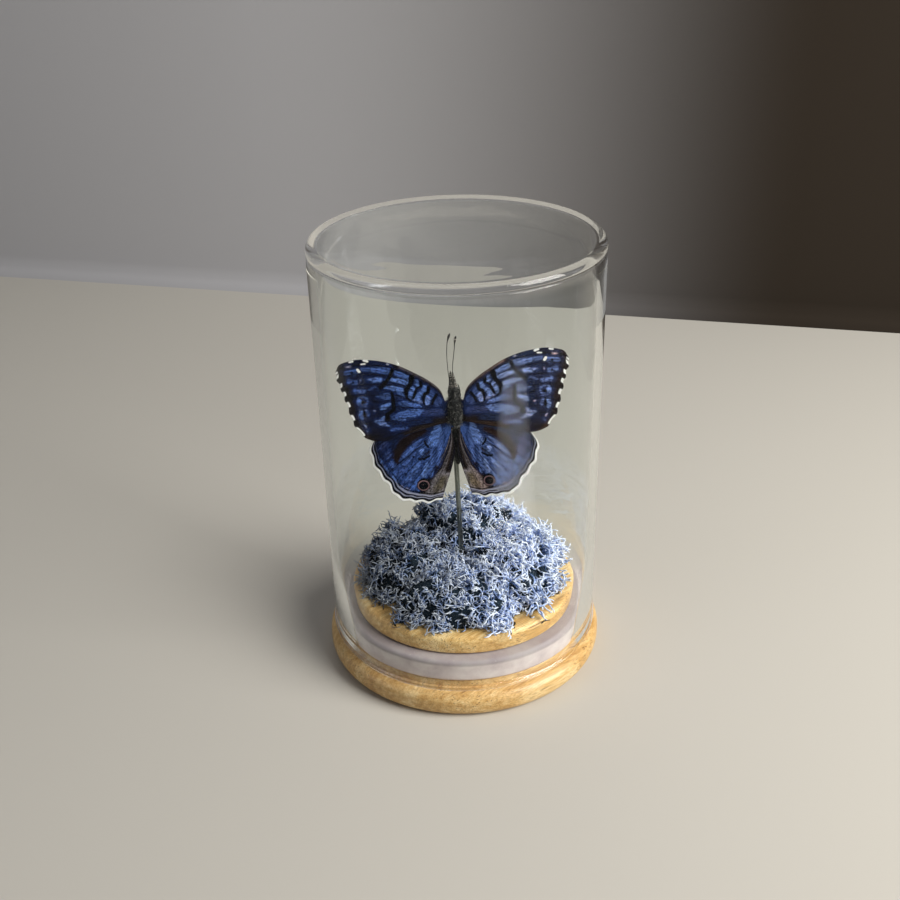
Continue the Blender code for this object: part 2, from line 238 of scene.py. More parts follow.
class Flow:
    """Builds a node tree, of geometry or of a material, one node at a time."""

    RANDOM_SOCKETS = {"FLOAT_VECTOR": (0, 0), "FLOAT": (2, 1), "INT": (4, 2)}

    def __init__(self, tree: bpy.types.NodeTree) -> None:
        """Takes the tree to build in."""
        self.tree = tree
        self.made = 0

    def feed(self, socket: bpy.types.NodeSocket, value: object) -> None:
        """Links an output to a socket, or sets the socket to a plain value."""
        if isinstance(value, bpy.types.NodeSocket):
            self.tree.links.new(value, socket)
        else:
            socket.default_value = value

    def node(self, kind: str, inputs: dict[str | int, object] | None = None, **settings: object) -> bpy.types.Node:
        """Adds a node.

        Args:
            kind: Its type name.
            inputs: What goes into each input, by name or number.
            settings: Values of its own properties.

        Returns:
            The node.
        """
        added = self.tree.nodes.new(kind)
        added.location = (self.made % 12 * 190, -(self.made // 12) * 260)
        self.made += 1
        for name, value in settings.items():
            setattr(added, name, value)
        for key, value in (inputs or {}).items():
            self.feed(added.inputs[key], value)
        return added

    def use(self, kind: str, inputs: dict[str | int, object], out: str | int = 0, **settings: object) -> object:
        """Adds a node as node() does and gives the wanted output."""
        return self.node(kind, inputs, **settings).outputs[out]

    def math(self, operation: str, first: object, second: object = 0.0, third: object = 0.0) -> object:
        """Gives the result of a Math node."""
        return self.use("ShaderNodeMath", {0: first, 1: second, 2: third}, operation=operation)

    def times(self, first: object, second: object) -> object:
        """Gives the product of two numbers."""
        return self.math("MULTIPLY", first, second)

    def centred(self, value: object) -> object:
        """Gives a value of 0 to 1 less one half."""
        return self.math("SUBTRACT", value, 0.5)

    def vector_math(self, operation: str, first: object, second: object, out: int = 0) -> object:
        """Gives the result of a Vector Math node."""
        return self.use("ShaderNodeVectorMath", {0: first, 1: second}, out, operation=operation)

    def stretched(self, vector: object, amounts: object) -> object:
        """Gives a vector or a colour times a number for each of its parts."""
        return self.vector_math("MULTIPLY", vector, amounts)

    def scaled(self, vector: object, amount: object) -> object:
        """Gives a vector times a number."""
        return self.use("ShaderNodeVectorMath", {0: vector, "Scale": amount}, operation="SCALE")

    def axis(self, vector: object, number: int) -> object:
        """Gives one part of a vector."""
        return self.use("ShaderNodeSeparateXYZ", {0: vector}, number)

    def mix(self, share: object, first: object, second: object, blend: str = "MIX") -> object:
        """Gives the mix of two colours."""
        inputs = {0: share, 6: first, 7: second}
        return self.use("ShaderNodeMix", inputs, 2, data_type="RGBA", blend_type=blend)

    def noise(self, vector: object, scale: object, detail: float = 3.0, rough: float = 0.55) -> object:
        """Gives the value of a Noise texture."""
        inputs = {"Vector": vector, "Scale": scale, "Detail": detail, "Roughness": rough}
        return self.use("ShaderNodeTexNoise", inputs)

    def cells(self, vector: object, scale: float) -> bpy.types.Node:
        """Gives a Voronoi texture's node."""
        return self.node("ShaderNodeTexVoronoi", {"Vector": vector, "Scale": scale}, feature="F1")

    def span(self, value: object, low: object, high: object, start: object = 0.0, end: object = 1.0) -> object:
        """Gives a value carried smoothly from one range to another."""
        inputs = {"Value": value, "From Min": low, "From Max": high, "To Min": start, "To Max": end}
        return self.use("ShaderNodeMapRange", inputs, interpolation_type="SMOOTHSTEP")

    def ramp(self, value: object, stops: Stops) -> object:
        """Gives the colour of a ramp.

        Args:
            value: Where on the ramp.
            stops: Place and hex colour of each stop.

        Returns:
            The colour socket.
        """
        ramp = self.node("ShaderNodeValToRGB", {0: value})
        elements = ramp.color_ramp.elements
        while len(elements) < len(stops):
            elements.new(0.5)
        for element, (place, code) in zip(elements, stops):
            element.position = place
            element.color = srgb(code)
        return ramp.outputs[0]

    def attribute(self, name: str) -> object:
        """Gives the number stored on the mesh under this name."""
        return self.node("ShaderNodeAttribute", attribute_name=name).outputs["Fac"]

    def random(self, kind: str, low: object, high: object, seed: object) -> object:
        """Gives a random value for each point or instance.

        Args:
            kind: FLOAT, FLOAT_VECTOR or INT.
            low: Lowest value.
            high: Highest value.
            seed: Fixed seed.

        Returns:
            The output socket.
        """
        first, out = self.RANDOM_SOCKETS[kind]
        inputs = {first: low, first + 1: high, "Seed": seed}
        return self.use("FunctionNodeRandomValue", inputs, out, data_type=kind)


def new_tree(
    kind: str, name: str, inputs: dict[str, str], outputs: dict[str, str]
) -> tuple[Flow, bpy.types.Node, bpy.types.Node]:
    """Starts a node group.

    Args:
        kind: Shader or Geometry.
        name: Name of the group.
        inputs: Name and socket type of each input.
        outputs: Name and socket type of each output.

    Returns:
        Its flow, its group input and its group output.
    """
    tree = bpy.data.node_groups.new(name, kind + "NodeTree")
    for way, sockets in (("INPUT", inputs), ("OUTPUT", outputs)):
        for words, what in sockets.items():
            tree.interface.new_socket(name=words, in_out=way, socket_type="NodeSocket" + what)
    flow = Flow(tree)
    return flow, flow.node("NodeGroupInput"), flow.node("NodeGroupOutput")


class SharedEffects:
    """The shader groups that several finishes place with their own values."""

    def __init__(self) -> None:
        """Builds each group once."""
        self.drift = self.uneven_tone()
        self.edge = self.soft_edge()

    @staticmethod
    def uneven_tone() -> bpy.types.NodeTree:
        """Builds uneven tone at two scales, which every real surface has.

        Returns:
            The group.
        """
        inputs = {"Colour": "Color", "Vector": "Vector", "Broad Scale": "Float", "Fine Scale": "Float"}
        outputs = {"Colour": "Color", "Height": "Float"}
        flow, given, result = new_tree("Shader", "uneven_tone", {**inputs, "Spread": "Float"}, outputs)
        given = given.outputs
        broad = flow.noise(given["Vector"], given["Broad Scale"], 2.0)
        fine = flow.noise(given["Vector"], given["Fine Scale"], 4.0, 0.65)
        both = flow.math("MULTIPLY_ADD", broad, 0.5, flow.times(fine, 0.5))
        factor = flow.math("MULTIPLY_ADD", flow.times(flow.centred(both), 4.0), given["Spread"], 1.0)
        tone = flow.use("ShaderNodeCombineColor", {0: factor, 1: factor, 2: factor})
        flow.feed(result.inputs["Colour"], flow.mix(1.0, given["Colour"], tone, "MULTIPLY"))
        flow.feed(result.inputs["Height"], both)
        return flow.tree

    @staticmethod
    def soft_edge() -> bpy.types.NodeTree:
        """Builds a soft mask from a signed distance in millimetres that wavers a little.

        Returns:
            The group.
        """
        inputs = dict.fromkeys(("Distance", "Waver", "Amount", "Feather"), "Float")
        flow, given, result = new_tree("Shader", "soft_edge", inputs, {"Mask": "Float"})
        given = given.outputs
        moved = flow.math("MULTIPLY_ADD", given["Waver"], given["Amount"], given["Distance"])
        flow.feed(result.inputs["Mask"], flow.span(moved, flow.times(given["Feather"], -1.0), given["Feather"]))
        return flow.tree


class Surface(Flow):
    """The node tree of one material and its main shader."""

    def __init__(self, name: str, plain: dict[str, object], effects: SharedEffects | None = None) -> None:
        """Makes the material and sets its plain values."""
        self.material = bpy.data.materials.new(name)
        self.material.use_nodes = True
        super().__init__(self.material.node_tree)
        self.effects = effects
        self.shader = self.tree.nodes["Principled BSDF"]
        for socket, value in plain.items():
            self.set(socket, value)

    def set(self, socket: str, value: object) -> None:
        """Feeds an input of the main shader."""
        self.feed(self.shader.inputs[socket], value)

    def place(self) -> object:
        """Gives Object coordinates in millimetres."""
        return self.scaled(self.node("ShaderNodeTexCoord").outputs["Object"], 1 / MM)

    def uneven(self, colour: object, vector: object, tone: Point3, out: str = "Colour") -> object:
        """Makes a colour uneven.

        Args:
            colour: The even colour.
            vector: Where on the surface.
            tone: Broad scale, fine scale and spread of the unevenness.
            out: Colour, or Height for the unevenness itself.

        Returns:
            The output socket.
        """
        names = ("Colour", "Vector", "Broad Scale", "Fine Scale", "Spread")
        inputs = dict(zip(names, (colour, vector, *tone)))
        return self.use("ShaderNodeGroup", inputs, out, node_tree=self.effects.drift)

    def paint(self, colour: object, vector: object, tone: Point3) -> None:
        """Gives the main shader an uneven colour."""
        self.set("Base Color", self.uneven(colour, vector, tone))

    def mask(self, distance: object, waver: object, amount: float, feather: float) -> object:
        """Gives the soft mask of a signed distance."""
        inputs = {"Distance": distance, "Waver": waver, "Amount": amount, "Feather": feather}
        return self.use("ShaderNodeGroup", inputs, "Mask", node_tree=self.effects.edge)

    def emboss(self, height: object, depth: float) -> None:
        """Feeds a height in millimetres of that depth to the shader's normal."""
        self.set("Normal", self.use("ShaderNodeBump", {"Height": height, "Strength": 1.0, "Distance": depth * MM}))

    def blend(self, share: object, first: object, second: object) -> object:
        """Gives the mix of two shaders."""
        return self.use("ShaderNodeMixShader", {0: share, 1: first, 2: second})

    def show(self, result: object) -> None:
        """Puts a shader on the surface in place of the main one alone."""
        self.feed(self.tree.nodes["Material Output"].inputs["Surface"], result)


@dataclass(frozen=True)
class Finish:
    """What every finish shares: its name, its plain gloss values and the shared groups."""

    effects: SharedEffects
    name: str = "finish"
    roughness: float = 0.5
    metallic: float = 0.0
    coat: float = 0.0
    specular: float = 0.5

    def start(self) -> Surface:
        """Starts the material with its plain values set."""
        plain = {"Roughness": self.roughness, "Metallic": self.metallic, "Coat Weight": self.coat}
        return Surface(self.name, {**plain, "Specular IOR Level": self.specular}, self.effects)


@dataclass(frozen=True)
class BambooFinish(Finish):
    """Oiled bamboo board: bundles of fibre that show as dots on end grain and as streaks along it."""

    name: str = "bamboo_oiled"
    roughness: float = 0.42
    coat: float = 0.12
    fibre_bearing: float = 38.0
    bundle: float = 0.5
    stretch: float = 0.03
    boards: Stops = ((0.28, "#BC9052"), (0.44, "#D3AA68"), (0.56, "#E1BE80"), (0.72, "#EED39C"))
    hair_dark: str = "#A97B3D"
    hair_pale: str = "#F3DCAA"
    bundle_ink: str = "#6A4318"

    def build(self) -> bpy.types.Material:
        """Returns the material."""
        face = self.start()
        place = face.place()
        bearing = {"Vector": place, "Angle": -math.radians(self.fibre_bearing)}
        turned = face.use("ShaderNodeVectorRotate", bearing, rotation_type="Z_AXIS")
        fibre = face.stretched(turned, (self.stretch, 1.0, 1.0))
        sway = face.times(face.noise(fibre, 0.35, 2.0), 1.2)
        bent = face.vector_math("ADD", fibre, face.scaled((0.0, 1.0, 0.6), sway))
        cells = face.cells(bent, 1.0 / self.bundle)
        inside = face.span(cells.outputs["Distance"], 0.16, 0.30, 1.0, 0.0)
        strength = face.use("ShaderNodeSeparateColor", {0: cells.outputs["Color"]})
        dots = face.times(inside, face.span(strength, 0.15, 0.9, 0.15, 1.0))
        streak = face.noise(bent, 0.9, 5.0, 0.6)
        hair = face.noise(bent, 5.2, 4.0, 0.7)
        strip = face.noise(face.stretched(turned, (0.004, 0.2, 0.02)), 1.0, 1.0)
        ground = face.ramp(face.math("MULTIPLY_ADD", face.centred(strip), 0.9, streak), self.boards)
        ground = face.mix(face.span(hair, 0.46, 0.62, 0.0, 0.62), ground, srgb(self.hair_dark))
        ground = face.mix(face.span(hair, 0.46, 0.36, 0.0, 0.3), ground, srgb(self.hair_pale))
        inked = face.mix(face.times(dots, 0.8), ground, srgb(self.bundle_ink))
        # Painted light: a fifth brighter from the neck up, to make up for light that the glass holds back from the
        # plug.
        painted_plug_light = face.span(face.axis(place, 2), 7.0, 12.0, 1.0, 1.2)
        face.set("Base Color", face.scaled(face.uneven(inked, place, (0.09, 2.2, 0.16)), painted_plug_light))
        face.set("Roughness", face.span(streak, 0.3, 0.7, 0.36, 0.52))
        face.emboss(face.math("MULTIPLY_ADD", dots, -0.6, face.times(hair, 0.4)), 0.05)
        return face.material


@dataclass(frozen=True)
class SiliconeFinish(Finish):
    """Milky mauve silicone with clouds, specks of dust and a painted shadow of the plug along its upper edge."""

    name: str = "silicone_milky"
    roughness: float = 0.65
    specular: float = 0.25
    clouds: Stops = ((0.3, "#C8BCBF"), (0.5, "#DACFD0"), (0.72, "#E8E0DF"))
    # shade: colour of the painted shadow under the plug
    shade: str = "#857B80"
    dust: str = "#E6E0DE"
    tone: Point3 = (0.4, 6.0, 0.06)

    def build(self) -> bpy.types.Material:
        """Returns the material."""
        face = self.start()
        place = face.place()
        cloud = face.noise(place, 0.25, 3.0)
        # Painted shadow: the ring darkens towards its top, where the plug overhangs it.
        shaded = face.span(face.axis(place, 2), 12.2, 13.2, 0.0, 0.6)
        colour = face.mix(shaded, face.ramp(cloud, self.clouds), srgb(self.shade))
        specks = face.span(face.cells(place, 0.9).outputs["Distance"], 0.05, 0.09, 0.6, 0.0)
        colour = face.mix(specks, colour, srgb(self.dust))
        face.paint(colour, place, self.tone)
        face.set("Roughness", face.span(cloud, 0.3, 0.7, 0.58, 0.75))
        face.emboss(face.uneven(colour, place, self.tone, "Height"), 0.02)
        return face.material


@dataclass(frozen=True)
class JarGlassFinish(Finish):
    """Clear pressed glass that lets soft light through and mirrors little in its straight wall."""

    name: str = "jar_glass"
    roughness: float = 0.0
    tint: str = "#FBFDFC"
    ior: float = 1.45
    calm: float = 0.9
    calm_foot: Point2 = (8.0, 12.0)
    calm_top: Point2 = (100.5, 102.5)
    guided_from: Point2 = (84.0, 90.0)
    steep: Point2 = (0.17, 0.25)
    deepest: float = 3.5

    def build(self) -> bpy.types.Material:
        """Returns the material."""
        face = self.start()
        face.set("Base Color", srgb(self.tint))
        face.set("Transmission Weight", 1.0)
        face.set("IOR", self.ior)
        place = face.place()
        face.emboss(face.noise(face.stretched(place, (1.0, 1.0, 0.35)), 0.11, 1.0, 0.3), 0.04)
        rays = face.node("ShaderNodeLightPath").outputs
        height = face.axis(place, 2)
        guided = face.times(rays["Is Reflection Ray"], face.span(height, *self.guided_from))
        deep = face.math("GREATER_THAN", rays["Ray Depth"], face.math("SUBTRACT", self.deepest, guided))
        soft = face.math("MAXIMUM", face.math("MAXIMUM", rays["Is Shadow Ray"], rays["Is Diffuse Ray"]), deep)
        wall = face.times(face.span(height, *self.calm_foot), face.span(height, *self.calm_top, self.calm, 0.0))
        facing = face.use("ShaderNodeLayerWeight", {"Blend": 0.5}, "Facing")
        second = face.math("COMPARE", rays["Ray Depth"], 1.0, 0.5)
        second = face.times(second, face.span(facing, *self.steep, 1.0, 0.0))
        early = face.math("MAXIMUM", rays["Is Camera Ray"], second)
        bend = {"Color": srgb(self.tint), "IOR": self.ior, "Roughness": self.roughness}
        bent = face.use("ShaderNodeBsdfRefraction", bend)
        calmed = face.blend(face.times(early, wall), face.shader.outputs[0], bent)
        face.show(face.blend(soft, calmed, face.use("ShaderNodeBsdfTransparent", {})))
        return face.material


@dataclass(frozen=True)
class SteelFinish(Finish):
    """Drawn steel wire with fine lines along it."""

    name: str = "steel_drawn"
    roughness: float = 0.3
    metallic: float = 1.0
    greys: Stops = ((0.3, "#595C57"), (0.6, "#868982"), (0.8, "#B2B4AD"))

    def build(self) -> bpy.types.Material:
        """Returns the material."""
        face = self.start()
        place = face.place()
        lines = face.noise(face.stretched(place, (6.0, 6.0, 0.12)), 1.6, 3.0)
        face.paint(face.ramp(lines, self.greys), place, (0.2, 3.0, 0.15))
        face.set("Roughness", face.span(lines, 0.3, 0.7, 0.22, 0.42))
        face.emboss(lines, 0.02)
        return face.material


@dataclass(frozen=True)
class BodyFinish(Finish):
    """Skin or hair of the insect: near black, with greyer and browner patches."""

    name: str = "insect_skin"
    roughness: float = 0.6
    specular: float = 0.2
    dark: str = "#0A0C0F"
    middle: str = "#1A1C1E"
    pale: str = "#3C3A37"

    def build(self) -> bpy.types.Material:
        """Returns the material."""
        face = self.start()
        place = face.place()
        patches = ((0.36, self.dark), (0.52, self.middle), (0.66, self.pale))
        face.paint(face.ramp(face.noise(place, 1.5, 4.0, 0.7), patches), place, (1.4, 9.0, 0.35))
        face.emboss(face.noise(place, 7.0, 3.0), 0.06)
        return face.material


@dataclass(frozen=True)
class EyeFinish(Finish):
    """Dark glossy eyes with tiny facets."""

    name: str = "insect_eye"
    roughness: float = 0.16
    coat: float = 0.6
    facets: Stops = ((0.1, "#2A1C14"), (0.6, "#0C0A09"))

    def build(self) -> bpy.types.Material:
        """Returns the material."""
        face = self.start()
        dents = face.cells(face.place(), 14.0).outputs["Distance"]
        face.set("Base Color", face.ramp(dents, self.facets))
        face.emboss(dents, 0.01)
        return face.material


@dataclass(frozen=True)
class BandedFinish(Finish):
    """Palps and antennae: a dark ground with pale scales where the mesh says so."""

    name: str = "insect_banded"
    roughness: float = 0.55
    ground: str = "#191613"
    scales: str = "#C9C0B4"

    def build(self) -> bpy.types.Material:
        """Returns the material."""
        face = self.start()
        place = face.place()
        grain = face.noise(place, 5.0, 3.0)
        share = face.span(face.math("ADD", face.attribute("pale"), face.centred(grain)), 0.35, 0.65)
        face.paint(face.mix(share, srgb(self.ground), srgb(self.scales)), place, (1.0, 9.0, 0.3))
        face.emboss(grain, 0.04)
        return face.material


@dataclass(frozen=True)
class WingFinish(Finish):
    """Rows of fine scales in the colours of the wing's upper or under side.

    The paints are those of the brown, dark, pale, ring and white layers, in that order.
    """

    name: str = "wing_upper"
    roughness: float = 0.5
    specular: float = 0.05
    ground: Stops = (
        (0.0, "#3D5A9C"), (0.14, "#22366C"), (0.26, "#0B1530"), (0.40, "#0F1228"),
        (0.52, "#110D10"), (0.66, "#2A211E"), (0.82, "#757078"), (1.0, "#5C5447"),
    )
    blue: Stops = (
        (0.0, "#262F58"), (0.25, "#2F4072"), (0.5, "#415C9E"),
        (0.75, "#5A7ABC"), (0.9, "#7C8ED0"), (1.0, "#CCC8EA"),
    )
    deep: str = "#15224C"
    paints: tuple[str, ...] = ("#180F10", "#04060C", "#9A9DB4", "#876A6E", "#FFFFFF")
    wavers: tuple[float, ...] = (1.1, 0.4, 0.2, 0.15, 0.2)
    feathers: tuple[float, ...] = (0.45, 0.13, 0.11, 0.08, 0.09)
    # Painted sheen: how strongly the right wings are painted paler violet.
    painted_sheen: float = 1.0
    painted_sheen_tint: Point3 = (2.2, 1.65, 1.25)

    def build(self) -> bpy.types.Material:
        """Returns the material."""
        face = self.start()
        chart = face.node("ShaderNodeUVMap", uv_map="wing_map").outputs[0]
        waver = face.centred(face.noise(chart, 1.5, 4.0, 0.6))
        rays = face.centred(face.noise(face.stretched(chart, (0.45, 2.6, 1.0)), 1.2, 4.0, 0.6))
        fine = face.centred(face.noise(chart, 7.0, 3.0, 0.7))
        colour = face.ramp(face.math("MULTIPLY_ADD", rays, 0.25, face.attribute("ground")), self.ground)
        tone = face.math("MULTIPLY_ADD", rays, 0.8, face.attribute("tone"))
        tone = face.ramp(face.math("MULTIPLY_ADD", fine, 0.9, tone), self.blue)
        spread = face.math("ADD", waver, rays)
        halo = face.mask(face.math("ADD", face.attribute("blue"), 0.55), spread, 1.2, 0.7)
        colour = face.mix(face.times(halo, 0.75), colour, srgb(self.deep))
        colour = face.mix(face.mask(face.attribute("blue"), spread, 0.7, 0.24), colour, tone)
        layers = (Layer.BROWN, Layer.DARK, Layer.PALE, Layer.RING, Layer.WHITE)
        for layer, paint, amount, feather in zip(layers, self.paints, self.wavers, self.feathers):
            if layer is Layer.PALE:
                colour = self.paint_right_sheen(face, face.scaled(colour, self.grain(face, chart)))
            mask = face.mask(face.attribute(layer.value), waver, amount, feather)
            colour = face.mix(mask, colour, srgb(paint))
        face.paint(colour, chart, (0.7, 11.0, 0.3))
        rows = face.cells(chart, 8.0).outputs["Distance"]
        face.set("Roughness", face.span(rows, 0.0, 0.9, 0.42, 0.68))
        face.emboss(rows, 0.012)
        return face.material

    def paint_right_sheen(self, face: Surface, colour: object) -> object:
        """Gives the colour with a painted paler violet sheen on the right wings, which stands in for the scales'
        shimmer and the glass's reflection.
        """
        # Painted sheen and reflection: the colour turns paler violet across to the right.
        right = face.span(face.axis(face.place(), 0), 0.0, 10.0, 0.0, self.painted_sheen)
        return face.mix(right, colour, face.stretched(colour, self.painted_sheen_tint))

    @staticmethod
    def grain(face: Surface, chart: object) -> object:
        """Gives how bright the scales are: streaks that run out from the body, and dark specks."""
        streaks = face.noise(face.stretched(chart, (0.3, 1.5, 1.0)), 1.0, 4.0, 0.7)
        specks = face.noise(face.stretched(chart, (1.0, 1.4, 1.0)), 1.5, 3.0, 0.7)
        return face.times(face.span(streaks, 0.36, 0.64, 0.5, 1.5), face.span(specks, 0.38, 0.54, 0.4, 1.25))


@dataclass(frozen=True)
class MossFinish(Finish):
    """Dyed reindeer moss: pale lavender at the tips, with painted shade that turns it deep blue-grey inside and darker
    on the left.
    """

    name: str = "moss_dyed"
    roughness: float = 0.85
    specular: float = 0.15
    dyes_and_inner_shade: Stops = ((0.0, "#1B2936"), (0.22, "#2A3E57"), (0.42, "#627DAE"), (0.62, "#B2C7F6"), (0.92, "#E8F0FF"))
    dry: str = "#8D8878"

    def build(self) -> bpy.types.Material:
        """Returns the material."""
        face = self.start()
        place = face.place()
        # Painted shade: the tip value runs dark near the cores and pale at the tips, so the dark end of the ramp paints
        # the shade inside the tufts.
        level = face.attribute("tip")
        patch, grain = face.centred(face.noise(place, 0.16, 3.0)), face.centred(face.noise(place, 2.6, 3.0))
        for swing, share in ((patch, 0.55), (grain, 0.22), (face.centred(face.attribute("shade")), 0.3)):
            level = face.math("MULTIPLY_ADD", swing, share, level)
        # Painted shade: darker towards the left, away from the key light, and a little brighter on the right.
        painted_shade_left = face.span(face.axis(place, 0), -20.0, 8.0, 0.38, 1.12)
        colour = face.scaled(face.ramp(level, self.dyes_and_inner_shade), painted_shade_left)
        dry = face.span(face.noise(place, 0.11, 2.0), 0.7, 0.8, 0.0, 0.4)
        face.paint(face.mix(dry, colour, srgb(self.dry)), place, (0.35, 5.0, 0.2))
        face.emboss(face.noise(place, 6.0, 2.0), 0.05)
        return face.material


@dataclass
class Turning:
    """Turns a profile about the axis into a closed fine mesh."""

    segments: int = 192
    crease: float = 50.0

    def mesh(
        self, name: str, profile: Sequence[Point2], material: bpy.types.Material, closed: bool = False
    ) -> bpy.types.Object:
        """Turns one profile.

        Args:
            name: Name of the piece.
            profile: Radius and height of each point.
            material: Its finish.
            closed: Whether the last point joins the first.

        Returns:
            The piece, faces out.
        """
        points: list[Point3] = []
        rings: list[list[int]] = []
        for radius, height in profile:
            count = self.segments if radius > 1e-6 else 1
            rings.append(list(range(len(points), len(points) + count)))
            for step in range(count):
                angle = math.tau * step / self.segments
                points.append((radius * math.cos(angle), radius * math.sin(angle), height))
        faces: list[tuple[int, ...]] = []
        for low, high in zip(rings, rings[1:] + rings[:1] if closed else rings[1:]):
            for step in range(self.segments):
                after = (step + 1) % self.segments
                corners = (low[step % len(low)], low[after % len(low)], high[after % len(high)], high[step % len(high)])
                unique = tuple(dict.fromkeys(corners))
                if len(unique) > 2:
                    faces.append(unique)
        piece = mesh_object(name, np.array(points), faces, [material])
        face_outwards(piece)
        piece.data.set_sharp_from_angle(angle=math.radians(self.crease))
        return piece


@dataclass
class Lid:
    """The turned bamboo lid and the silicone ring that grips the jar."""

    finish: Callable[[], bpy.types.Material]
    ring_finish: Callable[[], bpy.types.Material]
    turning: Turning = field(default_factory=Turning)
    foot_radius: float = 34.0
    foot_height: float = 6.0
    foot_edge: float = 2.4
    plug_radius: float = 27.9
    plug_bottom: float = 14.1
    plug_top: float = 18.5
    plug_edge: float = 1.4
    plug_low_edge: float = 0.5
    neck_radius: float = 29.9
    neck_top: float = 8.0
    groove_radius: float = 26.0
    groove_edge: float = 0.3
    hole_radius: float = 1.2
    hole_bottom: float = 8.0
    arris: float = 0.2
    ring_inner: float = 26.3
    ring_outer: float = 30.4
    ring_low: float = 8.2
    ring_high: float = 13.8
    ring_edge: float = 0.9
    ring_waist: float = 0.12

    def build(self) -> None:
        """Makes the lid and its ring."""
        profile = [*self.foot(), *self.plug()]
        settle(self.turning.mesh("lid_bamboo", profile, self.finish()), "bamboo", "bamboo_base")
        piece = self.turning.mesh("lid_seal_ring", self.ring(), self.ring_finish(), closed=True)
        settle(piece, "silicone", "seal_ring")

    def foot(self) -> list[Point2]:
        """Returns the outline from the middle of the underside to the groove."""
        middle = self.foot_radius - self.foot_edge
        return [
            (0.0, 0.0),
            (middle * 0.5, 0.0),
            *arc((middle, self.foot_edge), self.foot_edge, -90, 0, 12),
            *arc((middle, self.foot_height - self.foot_edge), self.foot_edge, 0, 90, 12),
            (self.neck_radius, self.foot_height),
            (self.neck_radius, self.neck_top - self.arris),
            (self.neck_radius - self.arris, self.neck_top),
            (self.groove_radius, self.neck_top),
        ]

    def plug(self) -> list[Point2]:
        """Returns the outline from the groove over the plug to the bottom of the rod's hole."""
        edge, low_edge = self.plug_radius - self.plug_edge, self.plug_low_edge
        return [
            (self.groove_radius, self.plug_bottom - self.groove_edge),
            (self.groove_radius + self.groove_edge, self.plug_bottom),
            *arc((self.plug_radius - low_edge, self.plug_bottom + low_edge), low_edge, -90, 0, 4),
            *arc((edge, self.plug_top - self.plug_edge), self.plug_edge, 0, 90, 10),
            (edge * 0.5, self.plug_top),
            (self.hole_radius + self.arris, self.plug_top),
            (self.hole_radius, self.plug_top - self.arris),
            (self.hole_radius, self.hole_bottom),
            (0.0, self.hole_bottom),
        ]

    def ring(self) -> list[Point2]:
        """Returns the outline of the ring."""
        low, high = self.ring_low + self.ring_edge, self.ring_high - self.ring_edge
        waist = self.ring_outer - self.ring_waist
        return [
            (self.ring_inner, self.ring_high),
            (self.ring_inner, self.ring_low),
            *arc((self.ring_outer - self.ring_edge, low), self.ring_edge, -90, 0, 6),
            *((waist, low + (high - low) * share) for share in (0.3, 0.5, 0.7)),
            *arc((self.ring_outer - self.ring_edge, high), self.ring_edge, 0, 90, 6),
        ]


@dataclass
class Jar:
    """The upturned glass jar: a round lip under a bead, straight walls, a round shoulder and a dished top."""

    finish: Callable[[], bpy.types.Material]
    turning: Turning = field(default_factory=Turning)
    radius: float = 32.5
    wall: float = 1.8
    top: float = 105.2
    shoulder: float = 1.7
    dish: float = 0.7
    ceiling: float = 2.0
    foot: float = 6.3
    bead: float = 0.4
    bead_points: tuple[Point2, ...] = (
        (0.2, 0.5), (0.4, 0.85), (0.55, 0.98), (0.7, 0.98), (0.85, 0.78), (1.0, 0.42), (1.15, 0.14), (1.35, 0.0),
    )
    ripple: float = 0.012
    ripple_length: float = 9.0

    def build(self) -> None:
        """Makes the jar."""
        profile = [*self.inside(), *self.outside()]
        profile[0], profile[-1] = (0.0, profile[0][1]), (0.0, profile[-1][1])
        settle(self.turning.mesh("jar_clear", profile, self.finish()), "clear_glass", "glass_dome")

    def inside(self) -> list[Point2]:
        """Returns the outline of the bore, from the middle of the ceiling round the lip."""
        bore, lip = self.radius - self.wall, self.foot + self.wall / 2
        inner = self.shoulder - self.wall / 2
        ceiling = self.top - self.dish - self.ceiling
        start = (bore - inner, ceiling + self.dish / 2)
        roof = [(0.0, ceiling), ((self.radius - self.shoulder) * 0.7, ceiling + self.dish / 4), start]
        profile = [tuple(point) for point in run_through(roof, np.linspace(0, 1, 9))[:-1]]
        profile += arc((start[0], start[1] - inner), inner, 90, 0, 14)
        heights = np.linspace(start[1] - inner, lip, 26)[1:-1]
        profile += [(bore + self.ripple * math.sin(up / self.ripple_length), float(up)) for up in heights]
        return profile + arc((bore + self.wall / 2, lip), self.wall / 2, 180, 360, 14)

    def outside(self) -> list[Point2]:
        """Returns the outline from the bead over the shoulder to the middle of the top."""
        lip, flat = self.foot + self.wall / 2, self.radius - self.shoulder
        profile = [(self.radius + self.bead * share, lip + rise) for rise, share in self.bead_points]
        profile += [(self.radius, lip + (self.top - self.shoulder - lip) * share) for share in (0.25, 0.5, 0.75)]
        profile += arc((flat, self.top - self.shoulder), self.shoulder, 0, 90, 18)
        dish = [(flat * out, self.top - self.dish * down) for out, down in ((1, 0), (0.82, 0.35), (0.5, 0.85), (0, 1))]
        return profile + [tuple(point) for point in run_through(dish, np.linspace(0, 1, 16))[1:]]


